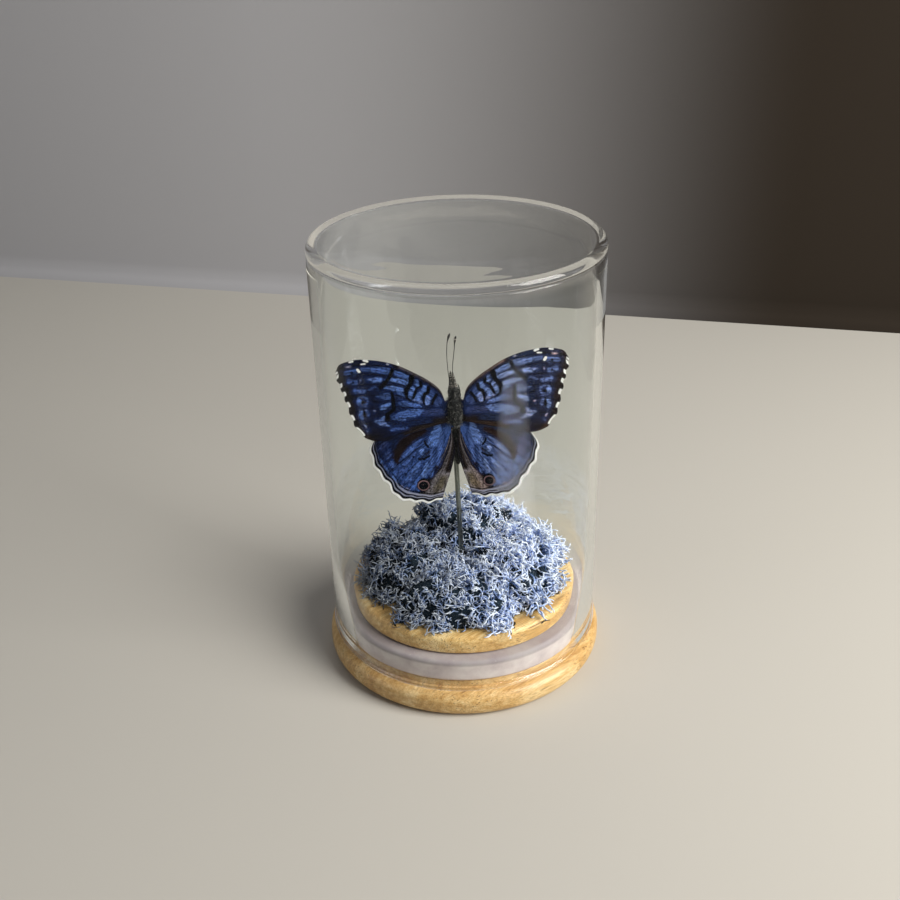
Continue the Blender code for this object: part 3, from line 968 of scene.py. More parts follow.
@dataclass
class Rod:
    """The drawn steel rod that holds the butterfly."""

    finish: Callable[[], bpy.types.Material]
    turning: Turning = field(default_factory=lambda: Turning(40))
    radius: float = 0.6
    edge: float = 0.15
    lean: float = 1.75
    low: float = 8.3
    high: float = 62.5
    pivot: float = 13.0

    def build(self) -> None:
        """Makes the rod, leaning a little to the left."""
        lean = math.radians(self.lean)
        length = (self.high - self.low) / math.cos(lean)
        end = self.radius - self.edge
        profile = [(0.0, 0.0), *arc((end, self.edge), self.edge, -90, 0, 3)]
        profile += [(self.radius, length * share) for share in np.linspace(0.02, 0.98, 30)]
        profile += [*arc((end, length - self.edge), self.edge, 0, 90, 3), (0.0, length)]
        piece = self.turning.mesh("rod_steel", profile, self.finish())
        foot = Vector(((self.pivot - self.low) * math.tan(lean), 0.0, self.low))
        piece.data.transform(Matrix.Translation(foot * MM) @ Matrix.Rotation(-lean, 4, "Y"))
        settle(piece, "steel", "specimen_rod")


@dataclass
class Setting:
    """Where the butterfly is set, and how it leans."""

    place: Point3 = (-1.05, -2.65, 63.6)
    lean: float = 1.8

    def carry(self, points: Sequence[Point3] | np.ndarray) -> np.ndarray:
        """Carries points given across, up and to the front into the part's frame."""
        points = np.asarray(points, float)
        turn = math.radians(self.lean)
        across, up, front = points[..., 0], points[..., 1], points[..., 2]
        x = across * math.cos(turn) - up * math.sin(turn)
        z = across * math.sin(turn) + up * math.cos(turn)
        return np.stack([x, -front, z], -1) + np.array(self.place)


@dataclass(frozen=True)
class Mark:
    """A mark on a wing: a run of points across and up from the body, each with its half width."""

    layer: Layer
    points: tuple[Point3, ...]
    tone: float = 0.5
    hollow: float = 0.0

    def depth(self, places: np.ndarray) -> np.ndarray:
        """Measures how deep each place lies in the mark.

        Args:
            places: Where the points of the wing are, across and up.

        Returns:
            Millimetres for each place, negative outside the mark.
        """
        path = np.array(self.points)
        spots = path[:, :2]
        best = np.full(places.shape[:-1], 3 * OUTSIDE)
        if len(spots) == 1:
            best = path[0, 2] - np.linalg.norm(places - spots[0], axis=-1)
        for index in range(len(spots) - 1):
            start, along = spots[index], spots[index + 1] - spots[index]
            share = np.clip(((places - start) @ along) / max(along @ along, 1e-9), 0, 1)
            away = np.linalg.norm(places - start - share[..., None] * along, axis=-1)
            width = path[index, 2] * (1 - share) + path[index + 1, 2] * share
            best = np.maximum(best, width - away)
        return best if not self.hollow else self.hollow - np.abs(best)


@dataclass
class WingMap:
    """A wing's outline and the map that spreads it from root to margin and front to back."""

    front: tuple[Point2, ...]
    margin: tuple[Point2, ...]
    back: tuple[Point2, ...]

    def __post_init__(self) -> None:
        """Measures the three edges, so that the map is even along them."""
        self.edges = []
        for line in (self.front, self.back, self.margin):
            fine = run_through(line, np.linspace(0, 1, 1200))
            steps = np.r_[0, np.cumsum(np.linalg.norm(np.diff(fine, axis=0), axis=1))]
            self.edges.append((steps / steps[-1], fine))

    def edge(self, number: int, share: np.ndarray) -> np.ndarray:
        """Gives points at even shares along the front, back or margin edge."""
        table, fine = self.edges[number]
        return np.stack([np.interp(share, table, fine[:, axis]) for axis in (0, 1)], -1)

    def at(self, out: np.ndarray, down: np.ndarray) -> np.ndarray:
        """Gives the place of map points.

        Args:
            out: Shares from root to margin.
            down: Shares from front to back.

        Returns:
            Across and up in millimetres, in the same shape.
        """
        r, t = out[..., None], down[..., None]
        inside = self.edge(0, out) * (1 - t) + self.edge(1, out) * t
        root, tip = np.array(self.front[0]), np.array(self.margin[0])
        heel, tornus = np.array(self.back[0]), np.array(self.margin[-1])
        radial = (root * (1 - t) + heel * t) * (1 - r) + self.edge(2, down) * r
        corners = root * (1 - r) * (1 - t) + tip * r * (1 - t) + heel * (1 - r) * t + tornus * r * t
        return inside + radial - corners


@dataclass
class WingPattern:
    """The marks of one kind of wing, the broad colour zones between them and the fringe."""

    marks: tuple[Mark, ...]
    zones: Callable[[np.ndarray, np.ndarray], np.ndarray]
    fringe: Callable[[np.ndarray, np.ndarray], dict[str, np.ndarray]]
    plain_tone: float = 0.4

    def fields(self, out: np.ndarray, down: np.ndarray, places: np.ndarray) -> dict[str, np.ndarray]:
        """Measures how deep each point of the wing lies in each layer.

        Args:
            out: Shares from root to margin of each point.
            down: Shares from front to back.
            places: Where the points are, across and up.

        Returns:
            Values by attribute name, in millimetres for the layers.
        """
        values = {layer.value: np.full(out.shape, OUTSIDE) for layer in Layer}
        tone = np.full(out.shape, self.plain_tone)
        for mark in self.marks:
            depth = mark.depth(places)
            kept = values[mark.layer.value]
            if mark.layer is Layer.BLUE:
                share = np.clip((depth - kept) / 0.3 + 0.5, 0, 1)
                tone = tone * (1 - share) + mark.tone * share
            np.maximum(kept, depth, out=kept)
        for name, depth in self.fringe(out, down).items():
            values[name] = np.maximum(values[name], depth)
        return {**values, "tone": tone, "ground": self.zones(out, down)}


def blue(tone: float, *points: Point3) -> Mark:
    """Gives a blue mark of that tone, from violet at 0 to pale at 1."""
    return Mark(Layer.BLUE, points, tone)


def dark(*points: Point3) -> Mark:
    """Gives a black mark."""
    return Mark(Layer.DARK, points)


def white(*points: Point3) -> Mark:
    """Gives a white mark."""
    return Mark(Layer.WHITE, points)


def brown(*points: Point3) -> Mark:
    """Gives a black-brown mark with soft sides."""
    return Mark(Layer.BROWN, points)


FOREWING_VEINS = (0.055, 0.16, 0.28, 0.41, 0.57, 0.745, 0.95)
FOREWING_SPOTS = (
    (0.075, 0.34), (0.125, 0.36), (0.235, 0.40), (0.34, 0.52), (0.475, 0.62), (0.635, 0.66), (0.83, 1.25),
)
HINDWING_VEINS = (0.0, 0.14, 0.28, 0.42, 0.55, 0.665, 0.77, 0.88, 1.0)
FOREWING_MARKS = (
    blue(0.48, (14.5, 12.4, 0.81), (17.4, 12.7, 0.57), (20.3, 12.9, 0.37)),
    blue(0.80, (14.7, 12.4, 0.72), (15.8, 12.5, 0.54)),
    blue(0.70, (16.6, 10.3, 0.64), (17.8, 10.2, 0.40), (19.3, 10.4, 0.12)),
    blue(0.35, (17.7, 8.5, 0.25), (18.8, 8.1, 0.25)),
    blue(0.52, (15.0, 6.1, 0.79), (16.1, 6.2, 0.54), (17.6, 6.2, 0.12)),
    blue(0.72, (15.1, 6.1, 0.64), (16.0, 6.1, 0.42)),
    blue(0.68, (16.6, 3.2, 0.54), (15.6, 3.8, 0.54), (14.3, 4.4, 0.20)),
    blue(0.76, (18.5, -0.1, 0.15), (17.0, -0.5, 0.79)),
    blue(0.76, (17.0, -0.5, 0.74), (15.3, -1.5, 0.10)),
    blue(0.78, (17.0, -0.1, 0.59), (16.3, 1.0, 0.10)),
    blue(0.38, (14.8, -2.4, 0.32), (13.2, -2.3, 0.32), (11.3, -2.1, 0.15)),
    blue(0.58, (13.0, 12.0, 0.27), (11.6, 11.4, 0.44), (10.3, 10.7, 0.44)),
    blue(0.50, (12.8, 11.4, 0.22), (11.0, 10.4, 0.25)),
    blue(0.70, (15.3, 10.0, 0.17), (14.2, 10.2, 0.40), (12.2, 9.9, 0.57), (10.5, 9.4, 0.62)),
    blue(0.70, (15.4, 8.3, 0.20), (13.8, 8.2, 0.54), (11.9, 7.6, 0.64)),
    blue(0.55, (12.6, 7.0, 0.32), (11.5, 6.2, 0.20), (10.9, 5.6, 0.09)),
    blue(0.15, (13.3, 6.1, 0.30), (11.7, 5.5, 0.20)),
    blue(0.50, (12.6, 4.2, 0.25), (11.3, 4.0, 0.69), (9.2, 3.7, 0.52), (7.6, 3.2, 0.12)),
    blue(0.52, (14.1, 0.7, 0.42), (12.5, 1.1, 0.94), (10.5, 1.4, 1.04), (8.5, 1.7, 0.79), (7.3, 2.1, 0.30)),
    blue(0.70, (9.9, 2.2, 0.37), (8.3, 1.9, 0.47)),
    blue(0.66, (13.7, 0.3, 0.27), (11.6, 0.1, 0.30)),
    blue(0.64, (8.3, 9.4, 0.47), (8.1, 8.3, 0.47)),
    blue(0.66, (9.3, 7.6, 0.57), (10.0, 5.7, 0.52)),
    blue(0.62, (6.5, 7.8, 0.52), (6.7, 7.0, 0.52), (8.0, 5.9, 0.64), (8.4, 5.1, 0.59)),
    blue(0.82, (9.2, 5.0, 0.20), (8.2, 4.7, 0.32), (7.4, 4.0, 0.17)),
    blue(0.78, (5.9, 5.3, 0.62), (6.2, 3.9, 0.54)),
    blue(0.35, (5.1, 6.5, 0.54), (5.0, 5.4, 0.54)),
    blue(0.25, (3.6, 4.2, 0.89), (3.9, 3.5, 0.74)),
    blue(0.12, (7.1, 1.6, 0.54), (5.0, 1.5, 0.79), (3.2, 1.4, 0.79)),
    blue(0.45, (24.1, 12.1, 0.54), (22.0, 12.4, 0.67)),
    blue(0.92, (24.0, 12.1, 0.27), (23.7, 12.2, 0.25)),
    blue(0.40, (23.5, 10.1, 0.62), (22.0, 9.8, 0.57)),
    blue(0.80, (23.6, 10.1, 0.37), (23.4, 9.7, 0.30)),
    blue(0.42, (22.2, 7.7, 0.59), (20.3, 7.7, 0.47)),
    blue(0.60, (22.2, 7.7, 0.32)),
    blue(0.55, (21.7, 5.4, 0.49), (21.7, 4.6, 0.44)),
    blue(0.55, (21.5, 2.6, 0.42), (21.4, 0.9, 0.42)),
    blue(0.38, (20.2, 2.9, 0.32), (19.8, 1.8, 0.37)),
    blue(0.88, (21.0, -0.8, 0.15), (20.6, -1.6, 0.12)),
    blue(0.50, (20.3, -2.4, 0.15)),
    blue(1.00, (23.9, 13.7, 0.20), (22.9, 13.9, 0.20)),
    blue(0.95, (20.8, 10.3, 0.20)),
    blue(0.90, (18.3, 2.6, 0.20)),
    blue(0.75, (21.9, 12.8, 0.25)),
    dark((9.3, 10.4, 0.64), (9.7, 8.8, 0.54), (10.8, 7.4, 0.49), (10.8, 5.6, 0.30), (9.9, 4.7, 0.25)),
    dark((7.4, 9.1, 0.37), (7.3, 8.1, 0.32), (8.4, 7.7, 0.25), (8.8, 6.5, 0.37), (9.3, 5.3, 0.25)),
    dark((5.7, 7.7, 0.42), (5.8, 6.6, 0.37), (6.7, 6.1, 0.42), (7.0, 4.8, 0.27), (6.9, 3.7, 0.22)),
    dark((4.0, 5.8, 0.35), (4.7, 4.7, 0.37), (5.1, 3.5, 0.22)),
    dark((13.6, 12.3, 0.49), (14.3, 10.6, 0.40), (15.8, 9.1, 0.54), (16.4, 8.5, 0.49)),
    dark((14.0, 7.0, 0.30), (13.9, 5.2, 0.49), (13.9, 2.8, 0.44), (15.4, 1.6, 0.54), (15.5, 0.3, 0.54)),
    dark((22.7, 12.2, 0.32)),
    dark((22.6, 9.9, 0.30)),
    dark((20.8, 4.8, 0.37)),
    dark((20.7, 2.4, 0.30), (20.7, 1.4, 0.30)),
    dark((13.8, 9.2, 0.10), (11.2, 8.6, 0.12)),
    dark((13.5, 10.6, 0.09), (10.6, 9.9, 0.10)),
    white((23.0, 14.8, 0.20), (22.2, 15.0, 0.20)),
    white((19.7, 15.1, 0.25), (19.0, 14.9, 0.32)),
    white((20.4, 14.2, 0.17), (19.5, 14.3, 0.19)),
    Mark(Layer.PALE, ((14.6, 14.0, 0.22), (14.3, 13.9, 0.20))),
    white((21.3, 12.9, 0.32), (21.0, 12.4, 0.32)),
    Mark(Layer.BLUE, ((20.9, 5.0, 1.16),), 0.42, 0.22),
)
HINDWING_MARKS = (
    brown(
        (7.4, -3.5, 0.59), (10.3, -4.9, 1.04), (12.3, -6.4, 1.23),
        (13.6, -8.3, 1.14), (14.3, -10.1, 0.89), (14.2, -11.4, 0.54),
    ),
    brown((7.2, -1.8, 0.49), (5.0, -1.7, 0.49)),
    blue(0.20, (16.2, -8.9, 0.81), (16.5, -9.7, 0.64)),
    blue(0.40, (18.3, -10.1, 0.25), (17.8, -11.2, 0.30)),
    blue(0.05, (16.8, -6.0, 0.74), (17.8, -7.8, 0.59)),
    blue(0.45, (15.5, -11.5, 0.59), (15.2, -12.5, 0.54)),
    blue(0.55, (17.2, -12.4, 0.27), (16.5, -13.5, 0.27)),
    blue(0.60, (15.6, -15.4, 0.30), (14.6, -16.6, 0.35)),
    blue(0.88, (13.8, -18.1, 0.37), (12.7, -18.8, 0.44), (11.8, -19.3, 0.30)),
    blue(0.50, (12.6, -9.9, 0.54), (11.3, -8.5, 0.59), (9.8, -7.0, 0.42), (8.3, -5.7, 0.20)),
    blue(0.42, (9.7, -9.0, 0.20), (10.7, -10.3, 0.40), (12.7, -12.2, 0.44)),
    blue(0.40, (11.5, -12.1, 0.25), (13.4, -13.8, 0.62), (14.6, -14.8, 0.42)),
    blue(0.55, (9.0, -11.7, 0.40), (10.4, -13.8, 0.77), (11.7, -15.8, 0.74), (12.6, -16.7, 0.32)),
    blue(0.68, (7.3, -12.2, 0.40), (7.6, -13.7, 0.67), (8.2, -15.3, 0.59)),
    blue(0.50, (6.1, -8.7, 0.37), (6.1, -12.2, 0.44), (6.5, -15.4, 0.40)),
    blue(0.66, (8.3, -8.4, 0.55), (8.2, -9.4, 0.55)),
    blue(0.60, (4.1, -2.2, 0.64), (4.5, -4.3, 1.28), (5.3, -6.3, 1.33), (6.3, -7.1, 0.64)),
    blue(0.75, (5.2, -4.8, 0.40), (6.0, -6.3, 0.44)),
    blue(0.45, (3.5, -5.4, 0.54), (4.1, -9.1, 0.49), (4.8, -12.5, 0.35)),
    blue(0.35, (10.9, -16.0, 0.37), (13.1, -16.9, 0.25)),
    dark((7.5, -6.1, 0.25), (7.3, -6.9, 0.27), (6.7, -7.8, 0.25)),
    dark((10.3, -10.2, 0.30)),
    dark((9.1, -10.8, 0.25), (7.9, -10.8, 0.35), (6.5, -10.1, 0.22)),
    brown((6.6, -9.1, 0.27), (7.1, -9.6, 0.22)),
    dark((8.4, -17.7, 1.63), (8.5, -18.1, 1.56)),
    brown((8.0, -17.5, 0.44)),
    brown((7.1, -19.0, 0.32)),
    Mark(Layer.RING, ((8.47, -18.06, 1.28),), 0.5, 0.12),
    Mark(Layer.RING, ((8.57, -17.84, 0.11),), 0.5),
)


def forewing_zones(out: np.ndarray, down: np.ndarray) -> np.ndarray:
    """Gives the forewing's ground, from navy at 0 through black-brown to grey and tan at 1.

    Args:
        out: Shares from root to margin.
        down: Shares from front to back.

    Returns:
        Places on the ramp of ground colours.
    """
    ground = 0.24 + 0.12 * smooth(out, 0.62, 0.85) + 0.16 * smooth(out, 0.88, 0.94)
    ground = ground + 0.10 * smooth(down, 0.78, 0.9) * smooth(out, 0.5, 0.7)
    hem = smooth(down, 0.84, 0.93) * (1 - smooth(out, 0.50, 0.66))
    base = smooth(down, 0.60, 0.74) * (1 - smooth(out, 0.12, 0.24))
    ground = np.maximum(np.maximum(ground, 0.60 * hem), 0.55 * base)
    costa = (1 - smooth(down, 0.02, 0.06 + 0.05 * (1 - out))) * (1 - smooth(out, 0.46, 0.56))
    return ground * (1 - costa) + 0.72 * costa


def hindwing_zones(out: np.ndarray, down: np.ndarray) -> np.ndarray:
    """Gives the hindwing's ground, with the brown fold along the body and the olive corner.

    Args:
        out: Shares from root to margin.
        down: Shares from front to back.

    Returns:
        Places on the ramp of ground colours.
    """
    ground = 0.02 + 0.22 * (1 - smooth(down, 0.28, 0.44)) + 0.15 * smooth(out, 0.84, 0.93)
    fold = smooth(down, 0.80, 0.87)
    ground = ground * (1 - fold) + (0.74 - 0.24 * smooth(down, 0.88, 0.97)) * fold
    olive = smooth(down, 0.74, 0.84) * smooth(out, 0.52, 0.68)
    ground = ground * (1 - olive) + olive * (0.76 + 0.24 * near(down, 0.93, 0.14) * (1 - smooth(out, 0.8, 0.95)))
    line = near(down, 0.80, 0.035) * smooth(out, 0.06, 0.14) * (1 - smooth(out, 0.5, 0.62))
    return ground * (1 - line) + 0.84 * line


def vein_lines(veins: Sequence[float], out: np.ndarray, down: np.ndarray, low: float, high: float) -> np.ndarray:
    """Gives how deep each point lies in the thin dark lines along the veins.

    Args:
        veins: Where the veins end, from front to back.
        out: Shares from root to margin.
        down: Shares from front to back.
        low: Millimetres for a share of 1 at the root.
        high: How many more there are at the margin.

    Returns:
        Millimetres, negative outside the lines.
    """
    lines = np.full(out.shape, OUTSIDE)
    for vein in veins:
        lines = np.maximum(lines, 0.08 - np.abs(down - vein) * (low + high * out) + OUTSIDE * (out < 0.36))
    return lines


def forewing_fringe(out: np.ndarray, down: np.ndarray) -> dict[str, np.ndarray]:
    """Gives the white fringe spots between the forewing's veins, and the black teeth at the veins.

    Args:
        out: Shares from root to margin.
        down: Shares from front to back.

    Returns:
        Depths in millimetres by layer.
    """
    spots = np.full(out.shape, OUTSIDE)
    for middle, half in FOREWING_SPOTS:
        spots = np.maximum(spots, half - np.abs(down - middle) * 19.0)
    return {
        Layer.WHITE.value: np.minimum(spots, 0.62 - (1 - out) * 24.0),
        Layer.DARK.value: vein_lines(FOREWING_VEINS, out, down, 5.0, 14.0),
    }


def hindwing_fringe(out: np.ndarray, down: np.ndarray) -> dict[str, np.ndarray]:
    """Gives the hindwing's white fringe, with two black lines and pale lines inside it.

    Args:
        out: Shares from root to margin.
        down: Shares from front to back.

    Returns:
        Depths in millimetres by layer.
    """
    rim = (1 - out) * 19.5
    line = 0.12 - np.abs(rim - 1.22)
    band = 0.2 * smooth(down, 0.45, 0.62) - np.abs(rim - 2.0 + 0.15 * smooth(down, 0.6, 0.9))
    lines = np.maximum(0.36 - np.abs(rim - 0.85), 0.2 - np.abs(rim - 1.52))
    inner = 0.16 * smooth(down, 0.3, 0.6) - np.abs(rim - 2.45)
    veins = np.maximum(vein_lines(HINDWING_VEINS[1:-1], out, down, 4.0, 24.0), inner)
    return {
        Layer.WHITE.value: 0.55 - rim,
        Layer.PALE.value: np.maximum(line, band),
        Layer.DARK.value: np.maximum(lines, veins),
    }


@dataclass
class Wing:
    """One wing: a thin closed sheet with raised veins, a scalloped margin and its pattern."""

    name: str
    side: Side
    chart: WingMap
    pattern: WingPattern
    veins: tuple[float, ...]
    finishes: Sequence[bpy.types.Material]
    slot: str
    depth: float
    scallop: float
    turn: float = 0.0
    size: float = 1.0
    rows: int = 150
    tucked_rows: int = 6
    columns: int = 132
    thickness: float = 0.1
    bow: float = 0.5
    span: float = 27.0
    vein_height: float = 0.07
    reach_in: float = 1.1
    chart_size: Point2 = (25.0, 18.0)
    under_chart: float = 40.0

    def build(self, setting: Setting) -> None:
        """Makes the wing where it is set.

        Args:
            setting: Where the butterfly stands.
        """
        inner = self.tucked_rows
        out = np.r_[np.zeros(inner), np.linspace(0, 1, self.rows)]
        tuck = np.r_[np.linspace(1, 1 / inner, inner), np.zeros(self.rows)]
        r, t = np.meshgrid(out, np.linspace(0, 1, self.columns), indexing="ij")
        flat = self.chart.at(r, t)
        flat += self.notch(r, t)[..., None] * self.outward(flat)
        values = self.pattern.fields(r, t, flat)
        flat[..., 0] -= tuck[:, None] * self.reach_in
        sheets = [self.spread(flat, r, t, tuck, face) for face in (1, -1)]
        points = np.concatenate([setting.carry(sheet).reshape(-1, 3) for sheet in sheets])
        piece = mesh_object(self.name + "_scaled", points, self.faces(len(out)), self.finishes)
        for name, depth in values.items():
            store_values(piece, name, np.concatenate([depth.ravel(), depth.ravel()]))
        self.lay_map(piece.data, r, t)
        settle(piece, self.slot, self.name)

    def outward(self, flat: np.ndarray) -> np.ndarray:
        """Gives the direction towards the margin at each point of the sheet."""
        step = np.gradient(flat, axis=0)
        return step / np.maximum(np.linalg.norm(step, axis=-1, keepdims=True), 1e-9)

    def notch(self, r: np.ndarray, t: np.ndarray) -> np.ndarray:
        """Draws the margin in between the ends of the veins.

        Args:
            r: Shares from root to margin.
            t: Shares from front to back.

        Returns:
            Millimetres to move each point outwards.
        """
        ends = np.r_[-0.06, self.veins, 1.06] if self.veins[0] > 0 else np.array(self.veins)
        phase = np.interp(t, ends, np.arange(len(ends)))
        return -self.scallop * (0.5 - 0.5 * np.cos(math.tau * phase)) * smooth(r, 0.86, 1.0)

    def spread(self, flat: np.ndarray, r: np.ndarray, t: np.ndarray, tuck: np.ndarray, face: int) -> np.ndarray:
        """Bows one side of the sheet, raises its veins and turns it to its set.

        Args:
            flat: The flat sheet.
            r: Shares from root to margin.
            t: Shares from front to back.
            tuck: How far each row goes into the body.
            face: 1 for the upper side and -1 for the under side.

        Returns:
            Points across, up and to the front.
        """
        turn = math.radians(self.turn)
        across = (flat[..., 0] * math.cos(turn) - flat[..., 1] * math.sin(turn)) * self.size
        up = (flat[..., 0] * math.sin(turn) + flat[..., 1] * math.cos(turn)) * self.size
        bow = self.bow * np.sin(math.pi * across / self.span)
        ribs = sum(np.exp(-((np.abs(t - vein) * (6 + 14 * r) / 0.22) ** 2)) for vein in self.veins)
        swell = 0.10 * np.sin(math.tau * 3 * t + 2.0) * smooth(r, 0.2, 0.7) + 0.05 * np.sin(9 * r + 7 * t)
        curl = 0.35 * smooth(r, 0.86, 1.0) ** 2 * np.sin(5.0 * t + (1.0 if self.side is Side.LEFT else 2.4))
        front = self.depth + bow + swell - curl * 0.5 + self.vein_height * ribs * smooth(r, 0.05, 0.3) * (1 - 0.7 * r)
        front = front - 0.45 * tuck[:, None] + face * self.thickness / 2
        return np.stack([across * self.side.value, up, front], -1)

    def faces(self, rows: int) -> list[tuple[int, ...]]:
        """Gives both sides and the rim that closes them.

        Args:
            rows: How many rows of corners the sheet has.

        Returns:
            Corner numbers of each face.
        """
        count = rows * self.columns
        grid = np.arange(count).reshape(rows, self.columns)
        flip = self.side is Side.LEFT
        made = []
        for sheet, turned in ((grid, flip), (grid + count, not flip)):
            corners = [sheet[:-1, :-1], sheet[:-1, 1:], sheet[1:, 1:], sheet[1:, :-1]]
            quads = np.stack(corners[::-1] if turned else corners, -1).reshape(-1, 4)
            made += [tuple(quad) for quad in quads.tolist()]
        loop = [int(corner) for corner in (*grid[0, :-1], *grid[:-1, -1], *grid[-1, :0:-1], *grid[:0:-1, 0])]
        for here, after in zip(loop, loop[1:] + loop[:1]):
            quad = (here, here + count, after + count, after)
            made.append(quad[::-1] if flip else quad)
        return made

    def lay_map(self, mesh: bpy.types.Mesh, r: np.ndarray, t: np.ndarray) -> None:
        """Lays the wing's own map and gives the under side its finish.

        Args:
            mesh: The wing's mesh.
            r: Shares from root to margin.
            t: Shares from front to back.
        """
        chart = (np.stack([r, t], -1) * self.chart_size).reshape(-1, 2)
        chart = np.concatenate([chart, chart + self.under_chart])
        corners = np.empty(len(mesh.loops), np.int32)
        mesh.loops.foreach_get("vertex_index", corners)
        mesh.uv_layers.new(name="wing_map").data.foreach_set("uv", chart[corners].astype(np.float32).ravel())
        quads = (len(r) - 1) * (self.columns - 1)
        index = np.zeros(len(mesh.polygons), np.int32)
        index[quads : 2 * quads] = 1
        mesh.polygons.foreach_set("material_index", index)
        mesh.update()


@dataclass
class TubeMesh:
    """Gathers round tubes of changing width into one mesh, with a pale value for each point."""

    points: list[np.ndarray] = field(default_factory=list)
    faces: list[tuple[int, ...]] = field(default_factory=list)
    pale: list[float] = field(default_factory=list)

    def add(self, path: np.ndarray, widths: np.ndarray, sides: int, pale: np.ndarray | None = None) -> None:
        """Adds a closed tube.

        Args:
            path: Its middle line.
            widths: Its radius at each point.
            sides: How many sides it has.
            pale: How pale it is at each point.
        """
        self.faces += stacked_faces(len(path), sides, len(self.points))
        ahead = np.gradient(path, axis=0)
        ahead /= np.maximum(np.linalg.norm(ahead, axis=1, keepdims=True), 1e-9)
        guide = np.array([0.0, 0.3, 1.0]) if abs(ahead[0][0]) > 0.8 else np.array([1.0, 0.2, 0.1])
        pale = np.zeros(len(path)) if pale is None else pale
        for spot, way, width, share in zip(path, ahead, widths, pale):
            one = np.cross(way, guide)
            one /= np.linalg.norm(one)
            two = np.cross(way, one)
            for step in range(sides):
                angle = math.tau * step / sides
                self.points.append(spot + (one * math.cos(angle) + two * math.sin(angle)) * width)
                self.pale.append(float(share))

    def finish(self, name: str, material: bpy.types.Material) -> bpy.types.Object:
        """Returns the mesh object, faces out."""
        piece = mesh_object(name, np.array(self.points), self.faces, [material])
        store_values(piece, "pale", np.array(self.pale))
        face_outwards(piece)
        return piece


@dataclass
class Grower:
    """A Geometry Nodes tree with named inputs, run on a base mesh and turned into a plain mesh."""

    name: str
    inputs: dict[str, str]

    def __post_init__(self) -> None:
        """Starts the tree."""
        inputs = {"Geometry": "Geometry", **self.inputs}
        self.flow, given, self.result = new_tree("Geometry", self.name, inputs, {"Geometry": "Geometry"})
        self.flow.tree.is_modifier = True
        self.given = given.outputs

    def scatter(self, surface: object, density: object, seed: object) -> bpy.types.NodeOutputs:
        """Gives the outputs of a node that strews points over a surface."""
        inputs = {"Mesh": surface, "Density": density, "Seed": seed}
        kind = "GeometryNodeDistributePointsOnFaces"
        return self.flow.node(kind, inputs, distribute_method="RANDOM").outputs

    def close(self, geometry: object) -> None:
        """Ends the tree in the material that is given."""
        inputs = {"Geometry": geometry, "Material": self.given["Material"]}
        self.flow.feed(self.result.inputs[0], self.flow.use("GeometryNodeSetMaterial", inputs))

    def grow(self, base: bpy.types.Object, name: str, values: dict[str, object]) -> bpy.types.Object:
        """Runs the tree.

        Args:
            base: The mesh that it grows on, which is removed after.
            name: Name of the new piece.
            values: Value of each named input.

        Returns:
            The new piece.
        """
        modifier = base.modifiers.new(self.name, "NODES")
        modifier.node_group = self.flow.tree
        for item in self.flow.tree.interface.items_tree:
            if item.in_out == "INPUT" and item.name in values:
                modifier[item.identifier] = values[item.name]
        graph = bpy.context.evaluated_depsgraph_get()
        grown = base.evaluated_get(graph)
        mesh = bpy.data.meshes.new_from_object(grown, preserve_all_data_layers=True, depsgraph=graph)
        base.modifiers.remove(modifier)
        bpy.data.objects.remove(base, do_unlink=True)
        mesh.name = name
        mesh.shade_smooth()
        return link(name, mesh)


